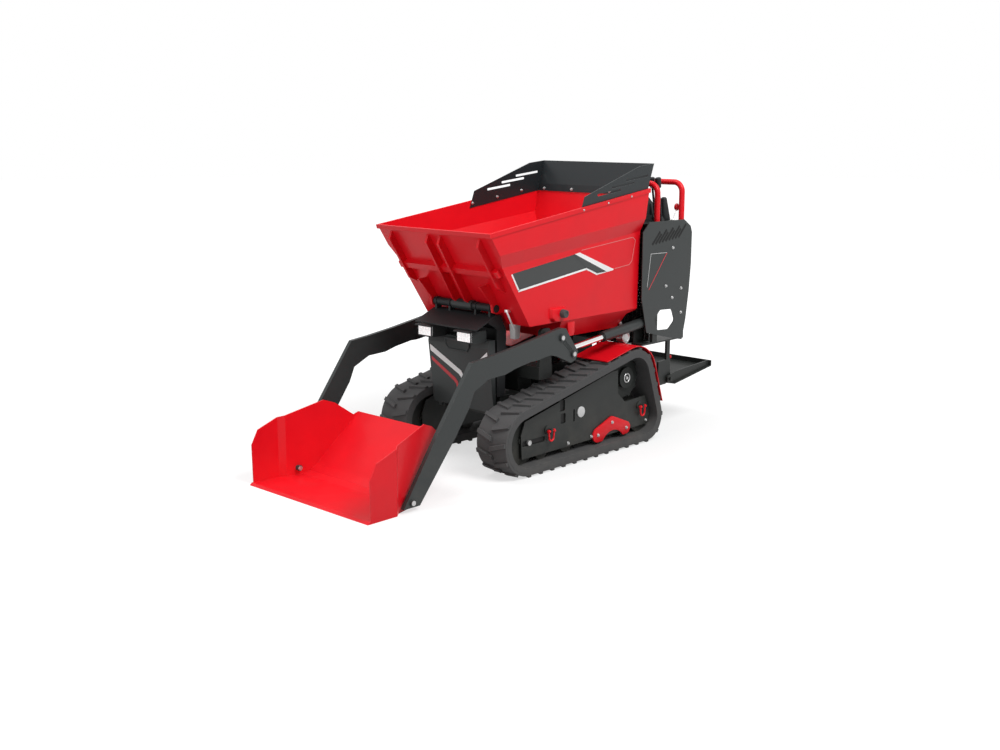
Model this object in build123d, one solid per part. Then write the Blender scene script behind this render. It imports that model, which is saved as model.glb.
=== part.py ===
from build123d import *
import math
import os

os.makedirs("parts", exist_ok=True)

# A tracked mini dumper with a front loading shovel. Millimetres, +Z up, the front faces -Y.
# The origin is on the ground, in the middle of the machine's length and width.

# Undercarriage: the belt runs round an idler, a raised drive sprocket and a rear idler.
TRACK_WIDTH = 180.0
TRACK_OVERALL = 831.0
BELT_T = 24.0
LUG_H = 24.0
LUG_W = 26.0
LUG_COUNT = 34
LUG_SLANT = 26.0
LUG_ROOT = 5.0
LUG_SIDE = 3.0
IDLER_Y, IDLER_R = -302.0, 115.0
SPROCKET_Y, SPROCKET_Z, SPROCKET_R = 470.0, 335.0, 108.0
REAR_IDLER_Y, REAR_IDLER_R = 573.0, 78.0
WHEEL_WIDTH = 62.0
WHEEL_GAP = 0.3
ROLLER_R = 42.0
ROLLER_Y = (-158.0, 16.0)
BOGIE_Y, BOGIE_SPAN = 347.0, 218.0
SPROCKET_TEETH = 11
TOOTH_H = 10.0
AXLE_R = 14.0
SIDE_PLATE_T = 8.0
SIDE_PLATE_GAP = 8.0
SEAT = 0.3
FENDER_T, FENDER_GAP = 4.0, 5.0
FENDER_FRONT, FENDER_LOW = 245.0, 192.0

TRACK_IN = TRACK_OVERALL / 2 - TRACK_WIDTH
TRACK_MID = (TRACK_OVERALL - TRACK_WIDTH) / 2

# Main frame between the tracks.
RAIL_TO_BELT = 70.5
RAIL_X = TRACK_IN - RAIL_TO_BELT
RAIL_W, RAIL_H, RAIL_Z = 60.0, 90.0, 245.0
FRAME_FRONT, FRAME_REAR = -262.0, 800.0
BELLY_T = 6.0
AXLE_BEAM = 60.0
AXLE_BEAM_Y = (-60.0, 270.0)

# Skip hinge, its stand, and the hopper.
HINGE_Y, HINGE_Z, HINGE_R, HINGE_LEN = -295.0, 745.0, 18.0, 412.0
HINGE_EAR_T, HINGE_EAR_X = 12.0, 192.0
HINGE_SLEEVE_R, HINGE_SLEEVE = 24.0, 62.0
HINGE_CLEAR = 0.08
STAND_HALF, STAND_T, STAND_TOP = 200.0, 8.0, 712.0
STAND_FRONT, STAND_REAR = -285.0, -235.0
REST_R, REST_T, REST_X = 21.0, 12.0, (78.0, 168.0)
VISOR_Y, VISOR_Z, VISOR_T = -418.0, 662.0, 6.0
SKIP_WALL = 4.0
RIM_HALF, FOLD_HALF, BASE_HALF, TROUGH_HALF = 362.0, 338.0, 335.0, 270.0
RIM_FRONT = (-500.0, 1103.0)
RIM_REAR = (614.0, 1251.0)
REAR_FOLD = (578.0, 1053.0)
BASE_Z, TROUGH_Z = 668.0, 575.0
BASE_FRONT_Y, BASE_REAR_Y = -215.0, 567.0
TROUGH_FRONT_Y, TROUGH_REAR_Y = 0.0, 505.0
TROUGH_SLOPE = 45.0
BAND_FRONT, BAND_REAR = 105.0, 140.0
STEP_H = 62.0
LIP_H, LIP_OUT = 20.0, 5.0
RIB_T, RIB_H = 6.0, 34.0
EXT_T, EXT_LAP = 4.0, 35.0
EXT_FRONT_Y, EXT_TOP_Y, EXT_REAR_Y = 131.0, 538.0, 650.0
EXT_FRONT_Z, EXT_TOP_Z, EXT_REAR_Z = 1231.0, 1359.0, 1369.0

# Loading arms, their pivots and the shovel.
ARM_OUT, ARM_T = 404.0, 20.0
ARM_PIVOT = (-74.0, 609.0)
CRANK_PIN = (8.0, 524.0)
FOOT_PIN = (-999.0, 40.0)
ARM_PIN_R, FOOT_PIN_R = 16.0, 12.0
PIN_CLEAR = 0.06
PIN_HEAD_R, PIN_HEAD_T = 17.0, 8.0
MOVE_GAP = 6.0
SADDLE_X, SADDLE_T = 290.0, 16.0
SADDLE_Y, SADDLE_W, SADDLE_Z, SADDLE_H = -74.0, 90.0, 405.0, 60.0

BUCKET_WALL = 5.0
BUCKET_HALF, BUCKET_BACK_HALF = 400.0, 322.0
BUCKET_LIP_Y, BUCKET_FRONT_Y = -1235.0, -1216.0
BUCKET_FOLD_Y, BUCKET_REAR_Y = -1078.0, -806.0
BUCKET_NECK_Y, BUCKET_NECK_HALF = -1052.0, 378.0
LIP_T = 10.0

# Lift cylinders.
LIFT_BASE = (625.0, 590.0)
LIFT_X = 331.0
LIFT_BARREL_R, LIFT_ROD_R = 25.0, 15.0
LIFT_BARREL_LEN, LIFT_ROD_START = 320.0, 60.0
ROD_CLEAR = 0.4
LIFT_EYE_R, LIFT_EYE_W = 24.0, 30.0
LIFT_PIN_R, LIFT_PIN_HEAD = 12.0, 16.0
LIFT_CHEEK_T = 11.0

# Tip cylinder under the hopper.
TIP_BASE = (-135.0, 283.0)
TIP_TOP = (-125.0, 612.0)
TIP_BARREL_R, TIP_ROD_R = 34.0, 17.0
TIP_BARREL_LEN, TIP_ROD_START = 304.0, 30.0
TIP_EYE_R, TIP_EYE_W = 18.0, 38.0
TIP_BASE_EYE_R, TIP_BASE_EYE_W = 24.0, 60.0
TIP_PIN_R = 12.0
TIP_EAR_T, TIP_EAR_GAP = 10.0, 6.0

# Rear tower, hoops and the folding platform.
TOWER_OUT, TOWER_T = 365.0, 4.0
TOWER_TOP = 1088.0
DECK_Z, DECK_T = 478.0, 8.0
DECK_TOP = DECK_Z + DECK_T
HOOP_R, HOOP_X = 14.5, 335.0
HOOP_TOP = 1268.0
HOOP_BEND = 48.0
FRONT_HOOP_Y, REAR_HOOP_Y = 715.0, 920.0
PLATFORM_HALF, PLATFORM_T = 335.0, 4.0
PLATFORM_PIVOT = (885.0, 262.0)
PLATFORM_FRONT, PLATFORM_REAR = 905.0, 1235.0
PLATFORM_REAR_Z = 283.0
PLATFORM_SIDE = 30.0
PLATFORM_PIN_R = 9.0

# Hood, lamps and engine.
HOOD_HALF, HOOD_TOP, HOOD_LOW = 198.0, 600.0, 262.0
HOOD_Y, HOOD_T = -305.0, 4.0
HOOD_PIN = (-282.0, 252.0)
HOOD_PIN_R, HOOD_LUG_R = 6.0, 13.0
LAMP_X, LAMP_W, LAMP_H = 128.0, 84.0, 44.0
LAMP_Y, LAMP_Z, LAMP_DEPTH = -424.0, 601.0, 60.0
ENGINE = (360.0, 190.0, 330.0)
ENGINE_Y = 770.0

IDLER_Z = LUG_H + BELT_T + IDLER_R
REAR_IDLER_Z = LUG_H + BELT_T + REAR_IDLER_R
ROLLER_Z = LUG_H + BELT_T + ROLLER_R
REAR_LEAN = (RIM_REAR[0] - REAR_FOLD[0]) / (RIM_REAR[1] - REAR_FOLD[1])


def save(shape, name):
    export_step(shape, f"parts/{name}.step")


def mirror_x(shape):
    return mirror(shape, about=Plane.YZ)


def slab(points, x0, x1):
    """A plate from a side outline of (Y, Z) points, between two X values."""
    face = make_face(Polyline(*points, close=True))
    return extrude(Plane.YZ.offset(x0) * face, amount=x1 - x0)


def slab_round(points, radius, x0, x1):
    """The same with every corner rounded."""
    face = make_face(FilletPolyline(*points, radius=radius, close=True))
    return extrude(Plane.YZ.offset(x0) * face, amount=x1 - x0)


def cross_rod(centre, radius, x0, x1):
    """A cylinder along X."""
    return extrude(Plane.YZ.offset(x0) * Pos(*centre) * Circle(radius), amount=x1 - x0)


def block(x0, x1, y0, y1, z0, z1):
    """A box between two corners."""
    size = (x1 - x0, y1 - y0, z1 - z0)
    return Pos((x0 + x1) / 2, (y0 + y1) / 2, (z0 + z1) / 2) * Box(*size)


def strut(start, end, radius):
    """A round bar between two points."""
    path = Line(start, end)
    return extrude(Plane(start, z_dir=path % 0) * Circle(radius), amount=path.length)


def aim(start, end):
    """The unit vector from one (Y, Z) point to another, and the distance."""
    dy, dz = end[0] - start[0], end[1] - start[1]
    reach = math.hypot(dy, dz)
    return (dy / reach, dz / reach), reach


def along(start, direction, distance, side=0.0):
    """A (Y, Z) point that far along a direction, and that far to its left."""
    return (start[0] + direction[0] * distance - direction[1] * side,
            start[1] + direction[1] * distance + direction[0] * side)


# Undercarriage

WHEELS = [((IDLER_Y, IDLER_Z), IDLER_R),
          ((SPROCKET_Y, SPROCKET_Z), SPROCKET_R),
          ((REAR_IDLER_Y, REAR_IDLER_Z), REAR_IDLER_R)]


def tangent(first, second):
    """The two tangent points of the outer line from one wheel to the next, clockwise."""
    (a, ra), (b, rb) = first, second
    (uy, uz), reach = aim(a, b)
    lean = math.asin((ra - rb) / reach)
    ny = -uz * math.cos(lean) + uy * math.sin(lean)
    nz = uy * math.cos(lean) + uz * math.sin(lean)
    return (a[0] + ny * ra, a[1] + nz * ra), (b[0] + ny * rb, b[1] + nz * rb)


def loop_runs(offset):
    """The belt's line at an offset from the wheels: straight runs and the arcs between them."""
    grown = [(centre, radius + offset) for centre, radius in WHEELS]
    count = len(grown)
    straights = [tangent(grown[i], grown[(i + 1) % count]) for i in range(count)]
    runs = []
    for i in range(count):
        start, end = straights[i]
        runs.append(("line", start, end, None))
        centre, radius = grown[(i + 1) % count]
        leave = straights[(i + 1) % count][0]
        runs.append(("arc", end, leave, (centre, radius)))
    return runs


def arc_angles(start, end, centre):
    """The start angle and clockwise sweep of an arc about a centre."""
    a0 = math.atan2(start[1] - centre[1], start[0] - centre[0])
    a1 = math.atan2(end[1] - centre[1], end[0] - centre[0])
    return a0, (a0 - a1) % (2 * math.pi)


def loop_face(offset):
    edges = []
    for kind, start, end, wheel in loop_runs(offset):
        if kind == "line":
            edges.append(Line(start, end))
        else:
            centre, radius = wheel
            a0, sweep_angle = arc_angles(start, end, centre)
            mid = a0 - sweep_angle / 2
            halfway = (centre[0] + radius * math.cos(mid), centre[1] + radius * math.sin(mid))
            edges.append(ThreePointArc(start, halfway, end))
    return make_face(edges)


def loop_stations(offset, count, phase):
    """Evenly spaced points round the belt, each with its outward direction."""
    runs = []
    for kind, start, end, wheel in loop_runs(offset):
        if kind == "line":
            runs.append((kind, start, end, wheel, aim(start, end)[1]))
        else:
            sweep_angle = arc_angles(start, end, wheel[0])[1]
            runs.append((kind, start, end, wheel, sweep_angle * wheel[1]))
    total = sum(run[4] for run in runs)
    stations = []
    for i in range(count):
        along_loop = (i + phase) * total / count
        for kind, start, end, wheel, length in runs:
            if along_loop <= length:
                break
            along_loop -= length
        if kind == "line":
            (uy, uz), _ = aim(start, end)
            stations.append(((start[0] + uy * along_loop, start[1] + uz * along_loop), (-uz, uy)))
        else:
            centre, radius = wheel
            angle = arc_angles(start, end, centre)[0] - along_loop / radius
            out = (math.cos(angle), math.sin(angle))
            stations.append(((centre[0] + radius * out[0], centre[1] + radius * out[1]), out))
    return stations


def lug(point, out, x0, x1, slant):
    """One slanted tread bar across half of the belt, narrower at its tip."""
    along_belt = (out[1], -out[0])
    foot = (point[0] - out[0] * LUG_ROOT, point[1] - out[1] * LUG_ROOT)
    tip = (point[0] + out[0] * LUG_H, point[1] + out[1] * LUG_H)
    corners = []
    for centre, half in ((foot, LUG_W / 2), (tip, LUG_W / 2 - 4)):
        corners.append((centre[0] - along_belt[0] * half, centre[1] - along_belt[1] * half))
        corners.append((centre[0] + along_belt[0] * half, centre[1] + along_belt[1] * half))
    outline = [corners[0], corners[1], corners[3], corners[2]]
    face = Plane.YZ.offset(x0) * make_face(Polyline(*outline, close=True))
    lean = Vector(x1 - x0, along_belt[0] * slant, along_belt[1] * slant)
    return Solid.extrude(face.face(), lean)


def make_track():
    belt = loop_face(BELT_T) - loop_face(0)
    solid = extrude(Plane.YZ.offset(TRACK_IN) * belt, amount=TRACK_WIDTH)
    lugs = []
    for point, out in loop_stations(BELT_T, LUG_COUNT, 0.25):
        lugs.append(lug(point, out, TRACK_IN + LUG_SIDE, TRACK_MID + LUG_SIDE, -LUG_SLANT))
    for point, out in loop_stations(BELT_T, LUG_COUNT, 0.75):
        lugs.append(lug(point, out, TRACK_OVERALL / 2 - LUG_SIDE, TRACK_MID - LUG_SIDE, -LUG_SLANT))
    return solid.fuse(*lugs)


def spool(centre, radius, width, waist):
    """A flanged wheel: two rims with a narrower waist between them."""
    half = width / 2
    rim = half * 0.45
    wheel = cross_rod(centre, waist, TRACK_MID - half, TRACK_MID + half)
    wheel += cross_rod(centre, radius, TRACK_MID - half, TRACK_MID - half + rim)
    wheel += cross_rod(centre, radius, TRACK_MID + half - rim, TRACK_MID + half)
    return wheel


def make_idlers():
    """The front and rear idlers with their axles."""
    inner = TRACK_MID - WHEEL_WIDTH / 2 - SIDE_PLATE_GAP
    outer = TRACK_MID + WHEEL_WIDTH / 2 + SIDE_PLATE_GAP
    wheels = []
    for centre, radius in ((WHEELS[0][0], IDLER_R), (WHEELS[2][0], REAR_IDLER_R)):
        wheel = spool(centre, radius - WHEEL_GAP, WHEEL_WIDTH, radius * 0.6)
        wheel += cross_rod(centre, AXLE_R, inner + SEAT, outer - SEAT)
        wheels.append(wheel)
    return wheels


def make_rollers():
    """The lower rollers and their axles: two on the frame, two on the bogie link."""
    inner = TRACK_MID - WHEEL_WIDTH / 2 - SIDE_PLATE_GAP
    outer = TRACK_MID + WHEEL_WIDTH / 2 + SIDE_PLATE_GAP
    places = list(ROLLER_Y) + [BOGIE_Y - BOGIE_SPAN / 2, BOGIE_Y + BOGIE_SPAN / 2]
    rollers = []
    for y in places:
        roller = spool((y, ROLLER_Z), ROLLER_R - WHEEL_GAP, WHEEL_WIDTH, ROLLER_R * 0.7)
        roller += cross_rod((y, ROLLER_Z), AXLE_R, inner + SEAT, outer - SEAT)
        rollers.append(roller)
    return rollers


def make_sprocket():
    """The toothed drive wheel, with a hub boss on its outer side."""
    centre = (SPROCKET_Y, SPROCKET_Z)
    root = SPROCKET_R - WHEEL_GAP - TOOTH_H
    half = WHEEL_WIDTH / 4
    wheel = cross_rod(centre, root, TRACK_MID - half, TRACK_MID + half)
    for i in range(SPROCKET_TEETH):
        angle = 2 * math.pi * i / SPROCKET_TEETH
        out = (math.cos(angle), math.sin(angle))
        base = along(centre, out, root - 4)
        tip = along(centre, out, SPROCKET_R - WHEEL_GAP - 1)
        tooth = [along(base, out, 0, 14), along(tip, out, 0, 8), along(tip, out, 0, -8), along(base, out, 0, -14)]
        wheel += slab(tooth, TRACK_MID - half, TRACK_MID + half)
    wheel += cross_rod(centre, 52, TRACK_MID + half, TRACK_MID + WHEEL_WIDTH / 2)
    return wheel


SIDE_OUTLINE = [(-305, 77), (-311, 188), (-285, 248), (340, 388), (381, 388), (384, 272),
                (441, 222), (600, 228), (640, 150), (626, 82)]


def side_plate_x():
    inner = TRACK_MID - WHEEL_WIDTH / 2 - SIDE_PLATE_GAP
    outer = TRACK_MID + WHEEL_WIDTH / 2 + SIDE_PLATE_GAP
    return inner, outer


def make_track_frame():
    """Two side plates round the wheels, tied by a box beam and held by the axle beams."""
    inner, outer = side_plate_x()
    plate = slab(SIDE_OUTLINE, outer, outer + SIDE_PLATE_T)
    plate -= slab_round([(-303, 134), (-150, 134), (-150, 160), (-303, 160)], 8, outer - 1, outer + SIDE_PLATE_T + 1)
    for y, z, w, h in ((-45, 255, 34, 52), (-40, 195, 34, 48)):
        plate -= slab_round([(y, z), (y + w, z), (y + w, z + h), (y, z + h)], 5, outer - 1, outer + SIDE_PLATE_T + 1)
    plate -= slab_round([(50, 190), (60, 190), (60, 250), (50, 250)], 4, outer - 1, outer + SIDE_PLATE_T + 1)
    inboard = slab(SIDE_OUTLINE, inner - SIDE_PLATE_T, inner)
    frame = plate + inboard
    frame += block(inner - 1, outer + 1, -150, 330, 215, 245)
    for y in AXLE_BEAM_Y:
        beam = block(RAIL_X + RAIL_W / 2 + SEAT, inner - SIDE_PLATE_T + 1, y - AXLE_BEAM / 2,
                     y + AXLE_BEAM / 2, RAIL_Z, RAIL_Z + AXLE_BEAM)
        frame += beam
    drive = cross_rod((SPROCKET_Y, SPROCKET_Z), 70, inner - SIDE_PLATE_T - 34, TRACK_MID - WHEEL_WIDTH / 4 - SEAT)
    arm = slab([(330, 250), (330, 380), (440, 405), (520, 330), (470, 250)], inner - SIDE_PLATE_T, inner)
    return frame + drive + arm


def make_bogie():
    """The rocking link outside the side plate that carries the two rear rollers."""
    outer = side_plate_x()[1] + SIDE_PLATE_T + SEAT
    y0, y1 = BOGIE_Y - BOGIE_SPAN / 2, BOGIE_Y + BOGIE_SPAN / 2
    outline = [(y0 - 34, 118), (y0 - 28, 60), (y0 + 26, 54), (BOGIE_Y - 40, 92), (BOGIE_Y + 40, 92),
               (y1 - 26, 54), (y1 + 28, 60), (y1 + 32, 96), (y1 + 6, 128), (BOGIE_Y + 34, 166),
               (BOGIE_Y - 26, 166), (y0 + 14, 128)]
    return slab_round(outline, 7, outer, outer + 8)


def make_shackles():
    """The tow shackles at the front and rear of the side plate, with their lugs."""
    outer = side_plate_x()[1] + SIDE_PLATE_T + SEAT
    parts = []
    for y in (-115, 575):
        lugs = block(outer, outer + 12, y - 14, y + 14, 165, 190)
        bow = Pos(outer + 12 + 6, y + 6, 145) * Rot(0, 90, 0) * Torus(22, 6)
        bow -= block(outer, outer + 40, y - 60, y + 60, 160, 220)
        legs = cross_rod((y - 16, 165), 6, outer, outer + 18) + cross_rod((y + 28, 165), 6, outer, outer + 18)
        parts.append(lugs + legs + bow)
    return Compound(parts)


def make_fender():
    """The sheet that follows the rear of the track just above the lugs."""
    x0, x1 = TRACK_IN - 30, TRACK_OVERALL / 2
    inside = BELT_T + LUG_H + FENDER_GAP
    band = loop_face(inside + FENDER_T) - loop_face(inside)
    reach = [(SPROCKET_Y, SPROCKET_Z), (FENDER_FRONT, SPROCKET_Z + 60), (FENDER_FRONT, SPROCKET_Z + 300),
             (900, SPROCKET_Z + 300), (900, FENDER_LOW), (REAR_IDLER_Y, FENDER_LOW)]
    sheet = extrude(Plane.YZ.offset(x0) * band, amount=x1 - x0)
    sheet = sheet & slab(reach, x0, x1)
    crest = SPROCKET_Z + SPROCKET_R + inside + FENDER_T / 2
    rail_side = RAIL_X + RAIL_W / 2 + SEAT
    return sheet + block(rail_side, x0 + 4, SPROCKET_Y - 40, SPROCKET_Y + 6, RAIL_Z + 30, crest)


# Main frame

def make_chassis():
    """Two box rails with cross members and a belly plate."""
    frame = block(-RAIL_X - RAIL_W / 2, -RAIL_X + RAIL_W / 2, FRAME_FRONT, FRAME_REAR, RAIL_Z, RAIL_Z + RAIL_H)
    frame += block(RAIL_X - RAIL_W / 2, RAIL_X + RAIL_W / 2, FRAME_FRONT, FRAME_REAR, RAIL_Z, RAIL_Z + RAIL_H)
    half = AXLE_BEAM / 2
    for y in (FRAME_FRONT + half, AXLE_BEAM_Y[0], AXLE_BEAM_Y[1], FRAME_REAR - half):
        frame += block(-RAIL_X, RAIL_X, y - half, y + half, RAIL_Z, RAIL_Z + RAIL_H - 30)
    frame += block(-RAIL_X - RAIL_W / 2, RAIL_X + RAIL_W / 2, FRAME_FRONT, FRAME_REAR, RAIL_Z - BELLY_T, RAIL_Z)
    y, z = HOOD_PIN
    for x in (-182, 138):
        frame += block(x, x + 8, y - 12, FRAME_FRONT + 1, z - 12, z + 12)
        frame += block(x + 36, x + 44, y - 12, FRAME_FRONT + 1, z - 12, z + 12)
        frame += cross_rod(HOOD_PIN, HOOD_PIN_R, x, x + 44)
    return frame


def make_stand():
    """The folded front stand that carries the skip hinge and backs the hood."""
    top = RAIL_Z + RAIL_H + SEAT
    top_front, top_rear = HINGE_Y - 5, HINGE_Y + 33
    outline = [(STAND_FRONT, top), (STAND_REAR, top), (STAND_REAR + 10, 640), (top_rear, STAND_TOP),
               (top_front, STAND_TOP), (-340, 694), (-340, 684), (STAND_FRONT, 650)]
    stand = slab(outline, -STAND_HALF, -STAND_HALF + STAND_T) + slab(outline, STAND_HALF - STAND_T, STAND_HALF)
    stand += block(-STAND_HALF, STAND_HALF, STAND_REAR - STAND_T, STAND_REAR, top, 640)
    stand += slab([(STAND_REAR - STAND_T, 636), (STAND_REAR, 636), (STAND_REAR + 10, 640), (top_rear, STAND_TOP),
                   (top_rear - 8, STAND_TOP - STAND_T), (STAND_REAR, 644)], -STAND_HALF, STAND_HALF)
    stand += slab([(top_front, STAND_TOP - STAND_T), (top_front, STAND_TOP), (top_rear, STAND_TOP),
                   (top_rear - 8, STAND_TOP - STAND_T)], -STAND_HALF, STAND_HALF)
    stand += slab([(top_front, STAND_TOP), (VISOR_Y, VISOR_Z), (VISOR_Y, VISOR_Z - VISOR_T),
                   (top_front, STAND_TOP - STAND_T)], -STAND_HALF, STAND_HALF)
    hinge = (HINGE_Y, HINGE_Z)
    for x in REST_X:
        rest = cross_rod(hinge, REST_R, x, x + REST_T)
        rest += block(x, x + REST_T, HINGE_Y - 15, HINGE_Y + 17, STAND_TOP - 4, HINGE_Z)
        stand += rest
        stand += mirror_x(rest)
    stand += cross_rod(hinge, HINGE_R, -HINGE_LEN / 2, HINGE_LEN / 2)
    return stand


def make_saddle():
    """The beam across the machine whose end plates carry the arm pivots."""
    end = SADDLE_X + SADDLE_T
    y0, y1 = SADDLE_Y - SADDLE_W / 2, SADDLE_Y + SADDLE_W / 2
    saddle = block(-end, end, y0, y1, SADDLE_Z, SADDLE_Z + SADDLE_H)
    saddle -= block(-95, 95, y0 - 1, y1 + 1, SADDLE_Z - 1, SADDLE_Z + SADDLE_H + 1)
    web = block(95 - 8, 175, y0, y1, RAIL_Z + RAIL_H + SEAT, SADDLE_Z + 1)
    saddle += web
    saddle += mirror_x(web)
    saddle += block(-96, 96, y1 - 1, y1 + 12, SADDLE_Z, SADDLE_Z + SADDLE_H)
    plate = slab_round([(y0, SADDLE_Z), (y1, SADDLE_Z), (SADDLE_Y + 34, ARM_PIVOT[1] + 32),
                        (SADDLE_Y - 34, ARM_PIVOT[1] + 32)], 20, SADDLE_X, end)
    plate -= cross_rod(ARM_PIVOT, ARM_PIN_R + PIN_CLEAR, SADDLE_X - 1, end + 1)
    return saddle + plate + mirror_x(plate)


def lift_mount():
    """The cheek and pin at the tower's foot that hold one lift cylinder's base."""
    y, z = LIFT_BASE
    outer = LIFT_X - LIFT_BARREL_R - MOVE_GAP
    mount = slab_round([(y - 34, 479), (y + 60, 479), (y + 42, z + 26), (y - 24, z + 26)], 14,
                       outer - LIFT_CHEEK_T, outer)
    head = LIFT_X + LIFT_EYE_W / 2 + MOVE_GAP
    mount += cross_rod(LIFT_BASE, LIFT_PIN_R, outer - 1, head + 1)
    mount += cross_rod(LIFT_BASE, LIFT_PIN_HEAD, head, head + 7)
    return mount


# Hopper

def rim_z(y):
    slope = (RIM_REAR[1] - RIM_FRONT[1]) / (RIM_REAR[0] - RIM_FRONT[0])
    return RIM_FRONT[1] + (y - RIM_FRONT[0]) * slope


def hopper_section(y, tall):
    share = (y - RIM_FRONT[0]) / (RIM_REAR[0] - RIM_FRONT[0])
    band = rim_z(y) - BAND_FRONT - (BAND_REAR - BAND_FRONT) * share
    right = [(TROUGH_HALF, TROUGH_Z), (BASE_HALF, BASE_Z), (FOLD_HALF, band - STEP_H), (RIM_HALF, band), (RIM_HALF, tall)]
    left = [(-x, z) for x, z in reversed(right)]
    return Polyline(*right, *left, close=True)


def hopper_side(tall):
    fy, fz = RIM_FRONT
    by, bz = BASE_FRONT_Y, BASE_Z
    over = (fy + (fy - by) * (tall - fz) / (fz - bz), tall)
    ry, rz = RIM_REAR
    points = [over, (by, bz), (TROUGH_FRONT_Y, BASE_Z), (TROUGH_FRONT_Y + TROUGH_SLOPE, TROUGH_Z),
              (TROUGH_REAR_Y - 15, TROUGH_Z), (TROUGH_REAR_Y, BASE_Z - 23), (BASE_REAR_Y, BASE_Z - 6),
              REAR_FOLD, (ry + (tall - rz) * REAR_LEAN, tall)]
    return make_face(Polyline(*points, close=True))


def hopper_volume(inset, tall):
    """The hopper's outer or inner volume, open at the top past the rim."""
    faces = []
    for y in (-620.0, 700.0):
        face = make_face(hopper_section(y, tall))
        if inset:
            face = offset(face, amount=-inset, kind=Kind.INTERSECTION)
        faces.append(Plane((0, y, 0), x_dir=(1, 0, 0), z_dir=(0, -1, 0)) * face)
    body = loft(faces, ruled=True)
    side = hopper_side(tall)
    if inset:
        side = offset(side, amount=-inset, kind=Kind.INTERSECTION)
    return body & extrude(Plane.YZ.offset(-450) * side, amount=900)


def make_tub():
    """The hopper: folded walls, a stepped band under the rim and a deeper trough behind the front."""
    outer = hopper_volume(0, 1500)
    inner = hopper_volume(SKIP_WALL, 1560)
    above = slab([RIM_FRONT[:1] + (1103,), (-900, rim_z(-900)), (-900, 1700), (900, 1700), (900, rim_z(900))], -500, 500)
    lip = slab([(-505, rim_z(-505)), (RIM_REAR[0] + LIP_OUT, rim_z(RIM_REAR[0] + LIP_OUT)),
                (RIM_REAR[0] + LIP_OUT - 2, rim_z(RIM_REAR[0]) - LIP_H), (-498, rim_z(-498) - LIP_H)],
               -RIM_HALF - LIP_OUT, RIM_HALF + LIP_OUT)
    tub = outer + (lip - hopper_volume(0, 1500))
    return tub - inner - above


def hinge_ear(x):
    """A gusset on the front wall that runs down round the end of the hinge rod."""
    outline = [front_point(290, SEAT), (-400, 852), (HINGE_Y - 27, HINGE_Z + 19), (HINGE_Y - 21, HINGE_Z - 17),
               (HINGE_Y + 5, HINGE_Z - 25), front_point(455, SEAT)]
    return slab(outline, x, x + HINGE_EAR_T)


def front_point(distance, out):
    """A point down the front wall from the rim, and that far out from it."""
    (uy, uz), _ = aim(RIM_FRONT, (BASE_FRONT_Y, BASE_Z))
    return along(RIM_FRONT, (uy, uz), distance, -out)


def make_ribs():
    """The front wall's ribs and cross channel, and the sleeve and gussets on the hinge rod."""
    hinge = (HINGE_Y, HINGE_Z)
    outer_rib = [front_point(30, SEAT), front_point(55, RIB_H), front_point(280, RIB_H), front_point(330, SEAT)]
    inner_rib = [front_point(30, SEAT), front_point(55, RIB_H), front_point(370, RIB_H + 8), hinge,
                 front_point(440, SEAT)]
    bar = [front_point(190, SEAT), front_point(196, RIB_H * 0.7), front_point(226, RIB_H * 0.7), front_point(232, SEAT)]
    ribs = slab(bar, -318, 318)
    for x, outline in ((-290, outer_rib), (-45, inner_rib), (33, inner_rib), (278, outer_rib)):
        ribs += slab(outline, x, x + RIB_T * 2)
    ribs += cross_rod(hinge, HINGE_SLEEVE_R, -HINGE_SLEEVE, HINGE_SLEEVE)
    ribs += hinge_ear(HINGE_EAR_X)
    ribs += hinge_ear(-HINGE_EAR_X - HINGE_EAR_T)
    return ribs - cross_rod(hinge, HINGE_R + HINGE_CLEAR, -HINGE_LEN, HINGE_LEN)


def make_side_extension():
    """A bolted side board with three slots, inside the hopper's rear half."""
    x1 = RIM_HALF - SKIP_WALL
    y0 = EXT_FRONT_Y - 32
    outline = [(y0, rim_z(y0) - EXT_LAP), (EXT_FRONT_Y, EXT_FRONT_Z), (EXT_TOP_Y, EXT_TOP_Z), (EXT_REAR_Y, EXT_REAR_Z),
               (RIM_REAR[0] - 8, rim_z(RIM_REAR[0])), (RIM_REAR[0] - 12, rim_z(RIM_REAR[0]) - EXT_LAP)]
    board = slab(outline, x1 - EXT_T, x1)
    for start in ((222, 1229), (326, 1260), (431, 1290)):
        end = (start[0] + 170, start[1] + 17)
        slot = [start, end, (end[0], end[1] + 11), (start[0], start[1] + 11)]
        board -= slab_round(slot, 4, x1 - EXT_T - 1, x1 + 1)
    return board


def make_rear_extension():
    half = RIM_HALF - SKIP_WALL - EXT_T - SEAT
    low = RIM_REAR[1] - EXT_LAP
    lean = EXT_LAP * REAR_LEAN
    y = RIM_REAR[0] - SKIP_WALL * 1.1 - SEAT
    outline = [(y - lean, low), (y, RIM_REAR[1]), (EXT_REAR_Y, EXT_REAR_Z), (EXT_REAR_Y - EXT_T, EXT_REAR_Z),
               (y - EXT_T, RIM_REAR[1]), (y - EXT_T - lean, low)]
    return slab(outline, -half, half)


def make_tip_ears():
    """The pair of ears under the hopper that the tip cylinder's eye sits between."""
    x0 = TIP_EYE_W / 2 + TIP_EAR_GAP
    y, z = TIP_TOP
    outline = [(y - 45, BASE_Z - SEAT), (y + 45, BASE_Z - SEAT), (y + 18, z - 18), (y - 18, z - 18)]
    ear = slab(outline, x0, x0 + TIP_EAR_T) - cross_rod(TIP_TOP, TIP_PIN_R, x0 - 1, x0 + TIP_EAR_T + 1)
    return Compound([ear, mirror_x(ear)])


# Tip cylinder

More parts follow.
